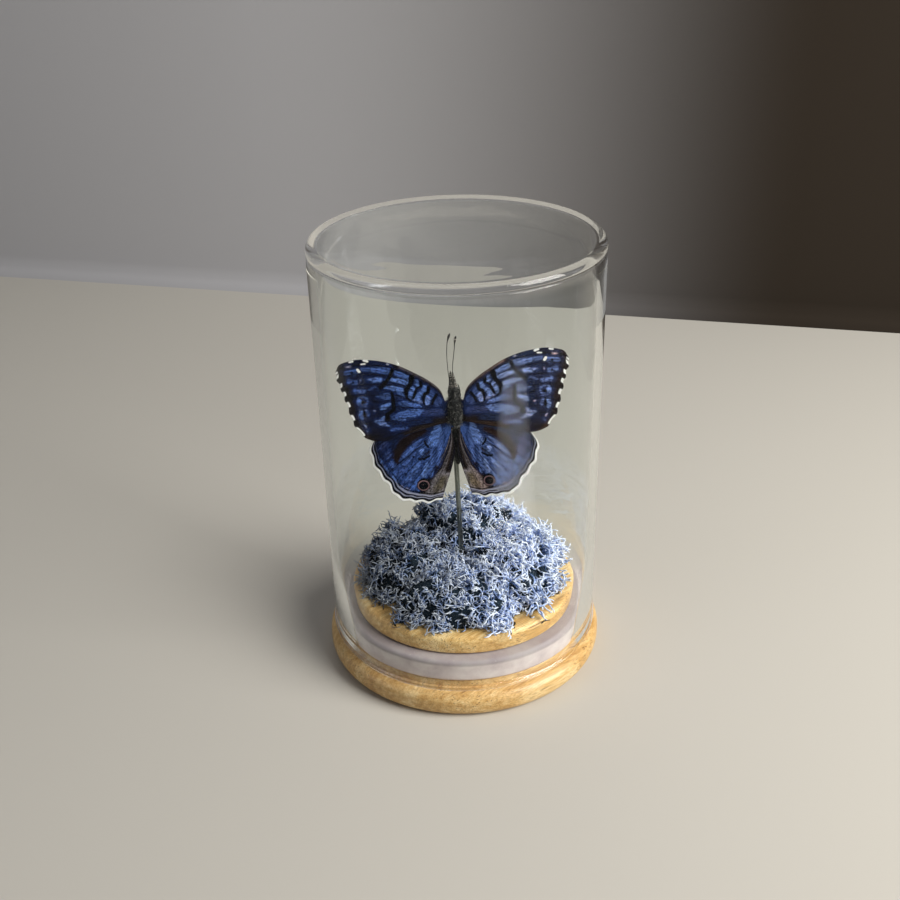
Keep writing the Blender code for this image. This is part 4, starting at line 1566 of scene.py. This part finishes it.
@dataclass
class Insect:
    """The butterfly's body: trunk, eyes, palps, antennae, legs and hair.

    The stations give how far up, how wide, how deep and how far to the front the trunk is.
    """

    effects: SharedEffects
    setting: Setting
    sides: int = 40
    rings: int = 110
    hair_length: float = 0.95
    hair_width: float = 0.035
    hair_density: float = 17.0
    seed: int = 7
    stations: tuple[tuple[float, float, float, float], ...] = (
        (-13.7, 0.25, 0.20, -1.15), (-13.1, 0.55, 0.48, -1.15), (-11.3, 0.85, 0.75, -1.15),
        (-8.5, 1.00, 0.85, -1.15), (-5.6, 1.00, 0.85, -1.15), (-4.1, 0.90, 0.80, -1.10),
        (-3.2, 0.95, 0.90, -0.95), (-2.2, 1.35, 1.40, -0.30), (-0.4, 1.70, 1.70, 0.00),
        (2.2, 1.75, 1.75, 0.00), (3.8, 1.45, 1.45, 0.05), (4.6, 0.95, 0.95, 0.10),
        (5.6, 1.05, 0.95, 0.10), (6.7, 0.80, 0.75, 0.10), (7.3, 0.30, 0.30, 0.10),
    )
    eyes: tuple[Point3, ...] = ((-0.85, 6.0, 0.2), (0.95, 5.0, 0.2))
    eye_radius: float = 0.62
    palps: tuple[tuple[Point3, ...], ...] = (
        ((-0.60, 6.0, 0.2), (-0.66, 7.6, 0.1), (-0.62, 9.2, 0.0), (-0.58, 10.9, -0.1)),
        ((0.40, 6.0, 0.2), (0.26, 7.6, 0.1), (0.04, 9.2, 0.0), (-0.10, 10.7, -0.1)),
    )
    palp_widths: tuple[float, ...] = (0.52, 0.46, 0.34, 0.12)
    collar: tuple[Point3, ...] = ((-0.12, 6.8, 0.45), (-0.18, 8.6, 0.3), (-0.24, 10.6, 0.1))
    antennae: tuple[tuple[Point3, ...], ...] = (
        (
            (-0.35, 6.5, 0.5), (-0.90, 9.0, 0.6), (-1.12, 12.0, 0.4), (-1.17, 14.9, 0.3),
            (-0.97, 17.4, 0.2), (-0.78, 18.3, 0.2), (-0.50, 19.2, 0.2), (-0.22, 19.9, 0.2),
        ),
        (
            (0.25, 6.4, 0.5), (0.02, 9.0, 0.6), (0.00, 12.0, 0.4), (0.32, 14.4, 0.3),
            (0.61, 16.3, 0.2), (0.72, 17.4, 0.2), (0.90, 18.5, 0.2), (1.14, 19.2, 0.2),
        ),
    )
    antenna_widths: tuple[float, ...] = (0.085, 0.08, 0.08, 0.08, 0.09, 0.13, 0.27, 0.15)
    leg_widths: tuple[float, ...] = (0.16, 0.18, 0.15, 0.12, 0.07)
    legs: tuple[tuple[Point3, ...], ...] = (
        ((0.7, 2.6, -1.0), (1.15, 4.0, -0.9), (1.30, 5.4, -0.6), (1.15, 6.6, -0.5), (0.95, 7.5, -0.4)),
        ((0.7, 0.6, -1.1), (1.5, 0.0, -1.4), (1.95, -1.4, -1.3), (1.7, -3.8, -1.3), (1.4, -6.2, -1.5)),
    )

    def build(self) -> None:
        """Makes every part of the body."""
        trunk = self.trunk()
        self.hair(trunk)
        settle(trunk, "insect_body", "butterfly_body")
        self.eye_pair()
        self.head_parts()
        self.leg_set()

    def trunk(self) -> bpy.types.Object:
        """Returns abdomen, thorax and head in one skin, ringed along the abdomen."""
        points = []
        for up, wide, deep, front in run_through(self.stations, np.linspace(0, 1, self.rings)):
            rings = 0.05 * math.cos(math.tau * up / 1.25) * (-13.0 < up < -3.4)
            for step in range(self.sides):
                angle = math.tau * step / self.sides
                spot = Vector((math.cos(angle) * wide, up, math.sin(angle) * deep))
                lump = noise.noise(spot * 1.1) * 0.10 + noise.noise(spot * 3.1) * 0.05
                scale = 1 + rings + lump * (up > -3.6)
                points.append((spot.x * scale, up, front + spot.z * scale))
        points = np.array(points)
        faces = stacked_faces(self.rings, self.sides)
        piece = mesh_object("butterfly_trunk", self.setting.carry(points), faces, [BodyFinish(self.effects).build()])
        face_outwards(piece)
        store_values(piece, "furry", smooth(points[:, 1], -4.6, -2.6) * 0.92 + 0.08)
        return piece

    def eye_pair(self) -> None:
        """Makes both eyes."""
        shape = bmesh.new()
        for spot in self.setting.carry(self.eyes):
            place = Matrix.Translation(Vector(spot) * MM)
            bmesh.ops.create_icosphere(shape, subdivisions=4, radius=self.eye_radius * MM, matrix=place)
        mesh = bpy.data.meshes.new("butterfly_eyes")
        shape.to_mesh(mesh)
        shape.free()
        mesh.shade_smooth()
        mesh.materials.append(EyeFinish(self.effects).build())
        settle(link("butterfly_eyes", mesh), "insect_body")

    def head_parts(self) -> None:
        """Makes the palps with the tuft between them, and the antennae, the right one with a pale band."""
        finish = BandedFinish(self.effects).build()
        shares = np.linspace(0, 1, 26)
        tubes = TubeMesh()
        widths = run_widths(self.palp_widths, shares) * np.sqrt(np.clip((1.02 - shares) / 0.12, 0, 1))
        widths = np.maximum(widths * (1 + 0.12 * np.sin(shares * 47.0)), 0.04)
        specks = 0.6 * (np.sin(shares * 61.0) > 0.5) * smooth(shares, 0.05, 0.2)
        for path in self.palps:
            tubes.add(self.setting.carry(run_through(path, shares)), widths, 14, specks)
        collar = run_through(self.setting.carry(self.collar), shares)
        tubes.add(collar, 0.16 - 0.1 * shares, 8, np.full(len(shares), 0.45))
        settle(tubes.finish("butterfly_palps", finish), "insect_body")
        shares = np.linspace(0, 1, 90)
        horns = TubeMesh()
        widths = run_widths(self.antenna_widths, shares) * (1 + 0.08 * np.sin(shares * 300))
        widths = np.maximum(widths * np.sqrt(np.clip((1.01 - shares) / 0.04, 0, 1)), 0.03)
        for number, path in enumerate(self.antennae):
            band = near(shares, 0.86, 0.03) * number
            horns.add(self.setting.carry(run_through(path, shares)), widths, 10, band)
        settle(horns.finish("butterfly_antennae", finish), "insect_body")

    def leg_set(self) -> None:
        """Makes the folded legs."""
        finish = BodyFinish(self.effects, name="insect_legs", middle="#3A332C", pale="#6A5D50").build()
        shares = np.linspace(0, 1, 36)
        widths = run_widths(self.leg_widths, shares)
        widths = widths * (1 + 0.25 * near(shares, 0.25, 0.05) + 0.2 * near(shares, 0.55, 0.04))
        tubes = TubeMesh()
        for path in self.legs:
            for side in Side:
                mirrored = [(side.value * across, up, front) for across, up, front in path]
                tubes.add(self.setting.carry(run_through(mirrored, shares)), widths, 10)
        settle(tubes.finish("butterfly_legs", finish), "insect_body")

    @staticmethod
    def hair_grower() -> Grower:
        """Returns the tree that strews hairs over a skin, longer and denser where it is furry."""
        inputs = {"Density": "Float", "Length": "Float", "Lay": "Vector", "Strand": "Object"}
        grower = Grower("body_hair", {**inputs, "Material": "Material", "Seed": "Int"})
        flow, given = grower.flow, grower.given
        furry = flow.use("GeometryNodeInputNamedAttribute", {"Name": "furry"}, data_type="FLOAT")
        spread = grower.scatter(given["Geometry"], flow.times(given["Density"], furry), given["Seed"])
        stray = flow.random("FLOAT_VECTOR", (-0.4, -0.4, -0.4), (0.4, 0.4, 0.4), given["Seed"])
        lay = flow.vector_math("ADD", flow.vector_math("ADD", spread["Normal"], given["Lay"]), stray)
        size = flow.random("FLOAT", 0.55, 1.15, given["Seed"])
        size = flow.times(size, flow.math("MULTIPLY_ADD", furry, 0.6, 0.4))
        placing = {
            "Points": spread["Points"],
            "Instance": flow.use("GeometryNodeObjectInfo", {"Object": given["Strand"]}, "Geometry"),
            "Rotation": flow.use("FunctionNodeAlignRotationToVector", {"Vector": lay}, axis="Z"),
            "Scale": flow.scaled((1.0, 1.0, 1.0), flow.times(size, given["Length"])),
        }
        placed = flow.use("GeometryNodeInstanceOnPoints", placing)
        grower.close(flow.use("GeometryNodeRealizeInstances", {0: placed}))
        return grower

    def hair(self, trunk: bpy.types.Object) -> None:
        """Grows short hair over the trunk.

        Args:
            trunk: The skin that it grows on.
        """
        strand = TubeMesh()
        shares = np.linspace(0, 1, 5)
        line = np.stack([0.28 * shares**2, 0 * shares, shares], 1)
        strand.add(line, np.array([1.0, 0.95, 0.8, 0.5, 0.12]) * self.hair_width, 3)
        colours = {"dark": "#050608", "middle": "#1C1E21", "pale": "#B4B2AC"}
        finish = BodyFinish(self.effects, name="insect_hair", roughness=0.5, **colours).build()
        single = strand.finish("hair_strand", finish)
        values = {
            "Density": self.hair_density / MM**2,
            "Length": self.hair_length,
            "Lay": (0.0, -0.1, -0.9),
            "Strand": single,
            "Material": finish,
            "Seed": self.seed,
        }
        piece = self.hair_grower().grow(link("hair_base", trunk.data.copy()), "butterfly_hair", values)
        bpy.data.objects.remove(single, do_unlink=True)
        settle(piece, "insect_body")


FOREWING = WingMap(
    front=(
        (2.15, 4.1), (3.2, 7.0), (5.7, 9.5), (9.2, 11.8), (12.1, 13.4),
        (15.2, 14.5), (18.2, 15.1), (21.5, 15.3), (24.8, 14.5), (26.2, 13.3),
    ),
    margin=((26.2, 13.3), (26.6, 11.0), (25.5, 7.4), (24.3, 2.6), (23.4, -0.8), (21.6, -3.7), (20.0, -4.9)),
    back=((2.3, -1.4), (9.1, -3.1), (14.6, -4.9), (18.0, -5.2), (20.0, -4.9)),
)
HINDWING = WingMap(
    front=((1.3, -0.9), (3.0, -0.5), (5.5, -0.8), (10.5, -1.0), (15.8, -2.6), (18.9, -4.9)),
    margin=(
        (18.9, -4.9), (20.5, -7.4), (20.3, -11.4), (18.9, -14.8), (16.9, -18.0),
        (15.6, -20.6), (13.2, -22.0), (10.4, -22.6), (7.6, -23.0), (4.3, -22.2),
    ),
    back=((1.1, -3.6), (0.75, -5.2), (0.45, -7.4), (0.75, -10.5), (1.6, -14.0), (3.0, -18.2), (4.3, -22.2)),
)
UNDER_SIDE = {
    "name": "wing_under",
    "painted_sheen": 0.0,
    "ground": ((0.0, "#8C7F70"), (0.25, "#9A8D7D"), (0.5, "#7D7062"), (0.75, "#85786A"), (1.0, "#A89A88")),
    "blue": ((0.0, "#A0968A"), (0.3, "#B3A999"), (0.55, "#A79C8D"), (0.8, "#BDB4A6"), (1.0, "#CDC6BA")),
    "deep": "#8F8475",
    "paints": ("#6A5A4C", "#4B4036", "#C9BFB0", "#C7B9A4", "#E9E4DA"),
}


@dataclass
class Butterfly:
    """The set butterfly: four patterned wings, the right ones a little turned, and a furred body."""

    effects: SharedEffects
    setting: Setting = field(default_factory=Setting)
    fore_turn: float = 1.8
    hind_turn: float = -3.0
    hind_size: float = 0.95

    def build(self) -> None:
        """Makes the wings and the body."""
        finishes = (WingFinish(self.effects).build(), WingFinish(self.effects, **UNDER_SIDE).build())
        fore = WingPattern(FOREWING_MARKS, forewing_zones, forewing_fringe)
        hind = WingPattern(HINDWING_MARKS, hindwing_zones, hindwing_fringe)
        for side in Side:
            word, right = side.name.lower(), side is Side.RIGHT
            Wing(
                f"forewing_{word}", side, FOREWING, fore, FOREWING_VEINS, finishes, "forewing",
                depth=0.9, scallop=0.4, turn=self.fore_turn if right else 0.0,
            ).build(self.setting)
            Wing(
                f"hindwing_{word}", side, HINDWING, hind, HINDWING_VEINS, finishes, "hindwing",
                depth=0.25, scallop=0.5, turn=self.hind_turn if right else 0.0, size=self.hind_size if right else 1.0,
            ).build(self.setting)
        Insect(self.effects, self.setting).build()


@dataclass
class MossBed:
    """Tufts of dyed reindeer moss: small heads of forked twigs over dark cores, which stand in for the shade deep
    inside the tufts.
    """

    finish: Callable[[], bpy.types.Material]
    tufts: tuple[str, ...] = ("moss_tuft_left", "moss_tuft_front", "moss_tuft_right", "moss_tuft_back")
    heart: Point3 = (-0.3, 0.0, 16.0)
    inset: float = 4.0
    head: float = 1.35
    spacing: float = 4.0
    density: float = 2.9
    twig_size: float = 1.0
    floor: float = 18.7
    wall: float = 30.2
    variants: int = 7
    seed: int = 41

    def build(self) -> None:
        """Grows each tuft where its solid stands."""
        material = self.finish()
        twigs = self.twigs(material)
        grower = self.grower()
        values = {
            "Head": self.head * MM,
            "Spacing": self.spacing * MM,
            "Density": self.density / MM**2,
            "Twig Size": self.twig_size,
            "Heart": tuple(part * MM for part in self.heart),
            "Floor": (self.floor + 0.2) * MM,
            "Twigs": twigs,
            "Material": material,
        }
        for number, name in enumerate(self.tufts):
            values["Seed"] = self.seed + number
            piece = grower.grow(self.core(name), name.replace("moss_tuft", "moss"), values)
            self.hold_in(piece)
            settle(piece, "moss", name)
        for twig in list(twigs.objects):
            bpy.data.objects.remove(twig, do_unlink=True)
        bpy.data.collections.remove(twigs)

    def core(self, name: str) -> bpy.types.Object:
        """Returns a copy of a tuft's solid, drawn in so that the twigs end where the solid did."""
        solid = frame["nodes"][name]
        base = link(name + "_core", solid.data.copy())
        shape = bmesh.new()
        shape.from_mesh(base.data)
        shape.transform(solid.matrix_world)
        bmesh.ops.remove_doubles(shape, verts=shape.verts, dist=1e-6)
        shape.normal_update()
        for vert in shape.verts:
            outward = (vert.co - Vector(self.heart) * MM).normalized()
            away = vert.normal * self.inset * MM * max(0.0, min(1.0, vert.normal.dot(outward) * 1.6))
            vert.co -= Vector((away.x, away.y, max(away.z, 0.0)))
            vert.co.z = max(vert.co.z, self.floor * MM)
        shape.to_mesh(base.data)
        shape.free()
        return base

    def twigs(self, material: bpy.types.Material) -> bpy.types.Collection:
        """Returns a few forked twigs of some dozen faces each, with how near each point is to a tip."""
        kept = bpy.data.collections.new("moss_twigs")
        bpy.context.scene.collection.children.link(kept)
        dice = random.Random(self.seed)
        for number in range(self.variants):
            mesh = TubeMesh()
            lean = Vector((dice.uniform(-0.3, 0.3), dice.uniform(-0.3, 0.3), 1.0))
            main = self.curl(dice, Vector((0, 0, -0.5)), lean, 6, 0.82)
            self.strand(mesh, main, (0.2, 0.2, 0.19, 0.18, 0.17, 0.16, 0.12), 0.2, 0.95)
            angle = dice.uniform(0, math.tau)
            for rise in (2, 3, 5):
                angle += dice.uniform(1.4, 2.6)
                side = Vector((math.cos(angle), math.sin(angle), dice.uniform(0.0, 0.9)))
                branch = self.curl(dice, main[rise], side, 3, 0.78 - 0.05 * rise)
                self.strand(mesh, branch, (0.17, 0.17, 0.15, 0.12), 0.2 + rise / 8, 1.0)
            twig = mesh.finish(f"moss_twig_{number}", material)
            store_values(twig, "tip", np.array(mesh.pale))
            bpy.context.scene.collection.objects.unlink(twig)
            kept.objects.link(twig)
        return kept

    @staticmethod
    def curl(dice: random.Random, start: Vector, way: Vector, steps: int, length: float) -> list[Vector]:
        """Returns a path that sets out one way and keeps turning about an axis of its own."""
        aside = Vector((dice.uniform(-1, 1), dice.uniform(-1, 1), dice.uniform(-1, 1)))
        axis = (way.normalized().cross(aside).normalized() + aside * 0.25).normalized()
        turn = Matrix.Rotation(dice.uniform(0.35, 0.75), 3, axis)
        path = [start]
        for _ in range(steps):
            path.append(path[-1] + way.normalized() * length)
            way = turn @ way
        return path

    @staticmethod
    def strand(mesh: TubeMesh, path: list[Vector], widths: Sequence[float], start: float, end: float) -> None:
        """Adds one three-sided strand whose paleness runs from start to end."""
        line = np.array([tuple(point) for point in path])
        mesh.add(line, np.array(widths), 3, np.linspace(start, end, len(path)))

    def grower(self) -> Grower:
        """Returns the tree that spreads heads over a core, and twigs over the heads."""
        sizes = dict.fromkeys(("Head", "Spacing", "Density", "Twig Size"), "Float")
        places = {"Heart": "Vector", "Floor": "Float", "Twigs": "Collection"}
        grower = Grower("moss_growth", {**sizes, **places, "Material": "Material", "Seed": "Int"})
        flow, given = grower.flow, grower.given
        seed = given["Seed"]
        balls = self.heads(flow, given)
        position = flow.use("GeometryNodeInputPosition", {})
        gaps = flow.span(flow.noise(position, 330.0, 1.0, 0.5), 0.42, 0.56, 0.22, 1.0)
        spread = grower.scatter(balls, flow.times(given["Density"], gaps), flow.math("ADD", seed, 9.0))
        outwards = flow.vector_math("SUBTRACT", position, given["Heart"])
        away = flow.use("ShaderNodeVectorMath", {0: outwards}, operation="NORMALIZE")
        facing = flow.vector_math("DOT_PRODUCT", spread["Normal"], away, 1)
        below = {"data_type": "FLOAT", "operation": "LESS_THAN"}
        buried = flow.use("FunctionNodeCompare", {0: facing, 1: -0.05}, **below)
        low = flow.use("FunctionNodeCompare", {0: flow.axis(position, 2), 1: given["Floor"]}, **below)
        hidden = flow.use("FunctionNodeBooleanMath", {0: buried, 1: low}, operation="OR")
        cut = {"Geometry": spread["Points"], "Selection": hidden}
        stray = flow.random("FLOAT_VECTOR", (-1.1, -1.1, -0.7), (1.1, 1.1, 0.8), seed)
        lay = flow.vector_math("ADD", flow.vector_math("ADD", spread["Normal"], stray), flow.scaled(away, 0.35))
        turn = flow.use("FunctionNodeAlignRotationToVector", {"Vector": lay}, axis="Z")
        spin = flow.use("FunctionNodeAxisAngleToRotation", {"Angle": flow.random("FLOAT", 0.0, math.tau, seed)})
        spun = {"Rotation": turn, "Rotate By": spin}
        children = {"Collection": given["Twigs"], "Separate Children": True, "Reset Children": True}
        size = flow.times(flow.random("FLOAT", 0.7, 1.15, seed), given["Twig Size"])
        size = flow.times(size, flow.span(flow.axis(position, 0), -2.0 * MM, 14.0 * MM, 0.92, 1.3))
        placing = {
            "Points": flow.use("GeometryNodeDeleteGeometry", cut, domain="POINT"),
            "Instance": flow.use("GeometryNodeCollectionInfo", children),
            "Pick Instance": True,
            "Instance Index": flow.random("INT", 0, self.variants - 1, seed),
            "Rotation": flow.use("FunctionNodeRotateRotation", spun, rotation_space="LOCAL"),
            "Scale": flow.scaled((1.0, 1.0, 1.0), size),
        }
        grown = flow.use("GeometryNodeInstanceOnPoints", placing)
        shade = {"Geometry": grown, "Name": "shade", "Value": flow.random("FLOAT", 0.0, 1.0, seed)}
        shaded = flow.use("GeometryNodeStoreNamedAttribute", shade, data_type="FLOAT", domain="INSTANCE")
        real = flow.use("GeometryNodeRealizeInstances", {0: shaded})
        # The balls and the core have no tip value, so the finish paints them in its darkest painted shade.
        joined = flow.node("GeometryNodeJoinGeometry")
        for part in (real, balls, given["Geometry"]):
            flow.feed(joined.inputs[0], part)
        grower.close(joined.outputs[0])
        return grower

    @staticmethod
    def heads(flow: Flow, given: bpy.types.NodeOutputs) -> object:
        """Gives lumpy balls spread over the core, as plain geometry.

        Args:
            flow: The tree to build in.
            given: The tree's inputs.

        Returns:
            The output socket.
        """
        strewing = {"Mesh": given["Geometry"], "Distance Min": given["Spacing"], "Density Max": 0.5 / MM**2}
        kind = "GeometryNodeDistributePointsOnFaces"
        spots = flow.use(kind, {**strewing, "Seed": given["Seed"]}, "Points", distribute_method="POISSON")
        ball = flow.use("GeometryNodeMeshIcoSphere", {"Radius": given["Head"], "Subdivisions": 2})
        size = flow.random("FLOAT_VECTOR", (0.7, 0.7, 0.6), (1.3, 1.3, 1.15), given["Seed"])
        placed = flow.use("GeometryNodeInstanceOnPoints", {"Points": spots, "Instance": ball, "Scale": size})
        balls = flow.use("GeometryNodeRealizeInstances", {0: placed})
        position = flow.use("GeometryNodeInputPosition", {})
        lumps = flow.use("ShaderNodeTexNoise", {"Vector": position, "Scale": 420.0}, 1)
        push = flow.scaled(flow.vector_math("SUBTRACT", lumps, (0.5, 0.5, 0.5)), 3.0 * MM)
        return flow.use("GeometryNodeSetPosition", {"Geometry": balls, "Offset": push})

    def hold_in(self, piece: bpy.types.Object) -> None:
        """Keeps the twigs off the lid and off the glass."""
        mesh = piece.data
        points = np.empty(len(mesh.vertices) * 3, np.float32)
        mesh.vertices.foreach_get("co", points)
        points = points.reshape(-1, 3)
        reach = np.linalg.norm(points[:, :2], axis=1)
        points[:, :2] *= np.minimum(1.0, self.wall * MM / np.maximum(reach, 1e-9))[:, None]
        points[:, 2] = np.maximum(points[:, 2], self.floor * MM)
        mesh.vertices.foreach_set("co", points.ravel())
        mesh.update()


@dataclass
class Studio:
    """Camera, pale floor, grey backdrop, soft light and the cards that the glass mirrors."""

    lens: float = 44.8
    camera_place: Point3 = (0.0, -233.7, 178.6)
    pan: float = -0.0108
    tilt: float = 0.4945
    roll: float = -0.026
    floor_colour: str = "#CAC7BF"
    wall_colour: str = "#B9B9BC"
    wall_shade: str = "#352F29"
    wall_left: float = 303.0
    wall_right: float = 177.0
    wall_reach: float = 266.0
    floor_half: float = 3000.0
    wall_half: float = 2200.0
    wall_rows: tuple[Point2, ...] = ((-8.0, 0.02), (-3.0, 0.4), (0.0, 3.0), (0.5, 8.0), (1.0, 1600.0))

    def build(self) -> None:
        """Sets the camera, the floor, the cards and the lights."""
        self.camera()
        self.ground()
        self.lights()
        self.card("card_dark", (-50, -130, 0.3), (94, -34.2, 0), (-32.5, -89.3, 0), 0.0)
        self.card("card_right", (100, -128, 0.6), (33, 30, 0), (62, -69, 0), 20.0)
        self.card("card_left", (-165, -45, 0.6), (-5, 20, 0), (-60, -16, 0), 2.5)
        settings = bpy.context.scene.view_settings
        settings.view_transform = "Standard"
        settings.look = "None"
        settings.exposure = 0.0

    def camera(self) -> None:
        """Stands the camera where the photograph was taken."""
        level = math.cos(self.tilt)
        ahead = Vector((math.sin(self.pan) * level, math.cos(self.pan) * level, -math.sin(self.tilt)))
        right = ahead.cross(Vector((0, 0, 1))).normalized()
        up = right.cross(ahead)
        turned = right * math.cos(self.roll) + up * math.sin(self.roll)
        upright = up * math.cos(self.roll) - right * math.sin(self.roll)
        data = bpy.data.cameras.new("photo_camera")
        data.lens = self.lens
        data.sensor_width = 36.0
        data.clip_start = 0.01
        camera = link("photo_camera", data)
        turn = Matrix((turned, upright, -ahead)).transposed().to_4x4()
        camera.matrix_world = Matrix.Translation(Vector(self.camera_place) * MM) @ turn
        bpy.context.scene.camera = camera

    def ground(self) -> None:
        """Lays the floor, and stands the backdrop across it behind the case."""
        along = Vector((2 * self.wall_reach, self.wall_right - self.wall_left, 0.0)).normalized()
        middle = Vector((0.0, (self.wall_left + self.wall_right) / 2, 0.0))
        away = Vector((-along.y, along.x, 0.0))
        half = self.floor_half
        corners = ((-half, -half, 0), (half, -half, 0), (half, half, 0), (-half, half, 0))
        floor_paint = self.paint("studio_floor_paint", self.floor_colour, 0.6)
        floor = mesh_object("studio_floor", corners, [(0, 1, 2, 3)], [floor_paint])
        points = []
        for back, height in self.wall_rows:
            for side in (-self.wall_half, self.wall_half):
                points.append(tuple(middle + along * side + away * back + Vector((0, 0, height))))
        faces = [(2 * row, 2 * row + 1, 2 * row + 3, 2 * row + 2) for row in range(len(self.wall_rows) - 1)]
        wall_paint = self.paint("studio_backdrop_paint", self.wall_colour, 0.8, self.wall_shade)
        mesh_object("studio_backdrop", points, faces, [wall_paint])

    @staticmethod
    def card(name: str, middle: Point3, across: Point3, along: Point3, glow: float) -> None:
        """Puts up a pale or black card that only the glass shows; its glow fades out at its edges.

        Args:
            name: Its name.
            middle: Its middle.
            across: Half its width, as a way to go.
            along: Half its length, as a way to go.
            glow: How bright it looks in the middle.
        """
        steps = (-1.0, -0.45, 0.45, 1.0)
        grid = [(x, y) for y in steps for x in steps]
        points = np.array([np.array(middle) + np.array(across) * x + np.array(along) * y for x, y in grid])
        faces = [(4 * y + x, 4 * y + x + 1, 4 * y + x + 5, 4 * y + x + 4) for y in range(3) for x in range(3)]
        face = Surface(name + "_glow", {"Base Color": srgb("#000000"), "Emission Color": srgb("#FFFFFF")})
        face.set("Emission Strength", face.span(face.attribute("inside"), 0.0, 1.0, 0.0, glow))
        strip = mesh_object(name, points, faces, [face.material])
        store_values(strip, "inside", np.array([float(max(abs(x), abs(y)) < 0.5) for x, y in grid]))
        strip.visible_camera = False
        strip.visible_diffuse = False
        strip.visible_shadow = False
        strip.visible_transmission = False

    @staticmethod
    def paint(name: str, code: str, roughness: float, shade: str = "") -> bpy.types.Material:
        """Returns a plain matt paint; with a shade it darkens towards the right and is clear from behind."""
        plain = {"Roughness": roughness, "Specular IOR Level": 0.0, "Base Color": srgb(code)}
        face = Surface(name, plain)
        if shade:
            across = face.axis(face.node("ShaderNodeTexCoord").outputs["Object"], 0)
            face.set("Base Color", face.mix(face.span(across, -0.09, 0.14), srgb(code), srgb(shade)))
            behind = face.node("ShaderNodeNewGeometry").outputs["Backfacing"]
            clear = face.use("ShaderNodeBsdfTransparent", {})
            face.show(face.blend(behind, face.shader.outputs[0], clear))
        return face.material

    def lights(self) -> None:
        """Hangs a key from the right, a dim fill, a pale ceiling and a soft sky."""
        self.softbox("key_light", (490, -210, 400), (0, 0, 30), (400, 400), 6.3, "#FFFBF5")
        self.softbox("fill_light", (-480, -200, 300), (0, 0, 50), (260, 420), 0.35, "#F2F5FF")
        self.softbox("back_light", (-120, 420, 460), (0, 0, 60), (420, 120), 0.6, "#FFFFFF")
        self.softbox("ceiling_light", (0, 150, 900), (0, 0, 0), (900, 900), 1.2, "#FBFCFF")
        world = bpy.data.worlds.new("studio_sky")
        bpy.context.scene.world = world
        world.use_nodes = True
        sky = world.node_tree.nodes["Background"]
        sky.inputs["Color"].default_value = srgb("#EEF0F2")
        flow = Flow(world.node_tree)
        through = flow.node("ShaderNodeLightPath").outputs["Is Transmission Ray"]
        flow.feed(sky.inputs["Strength"], flow.math("MULTIPLY_ADD", through, -0.5, 0.8))
        world.cycles_visibility.diffuse = False

    @staticmethod
    def softbox(name: str, place: Point3, target: Point3, size: Point2, power: float, code: str) -> None:
        """Hangs one soft light.

        Args:
            name: Its name.
            place: Where it hangs, in millimetres.
            target: What it points at.
            size: Its width and height.
            power: Its power in watts.
            code: Its hex colour.
        """
        data = bpy.data.lights.new(name, "AREA")
        data.shape = "RECTANGLE"
        data.size, data.size_y = size[0] * MM, size[1] * MM
        data.energy = power
        data.color = srgb(code)[:3]
        light = link(name, data)
        light.location = Vector(place) * MM
        light.rotation_euler = (Vector(target) - Vector(place)).to_track_quat("-Z", "Y").to_euler()


def write_sizes() -> None:
    """Updates the view layer."""
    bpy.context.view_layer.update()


def main() -> None:
    """Builds the studio and every sub-assembly in order."""
    logging.basicConfig(level=logging.INFO, format="%(name)s %(message)s")
    effects = SharedEffects()
    Studio().build()
    Lid(BambooFinish(effects).build, SiliconeFinish(effects).build).build()
    Rod(SteelFinish(effects).build).build()
    MossBed(MossFinish(effects).build).build()
    Butterfly(effects).build()
    Jar(JarGlassFinish(effects).build).build()
    write_sizes()


if __name__ == "__main__":
    main()
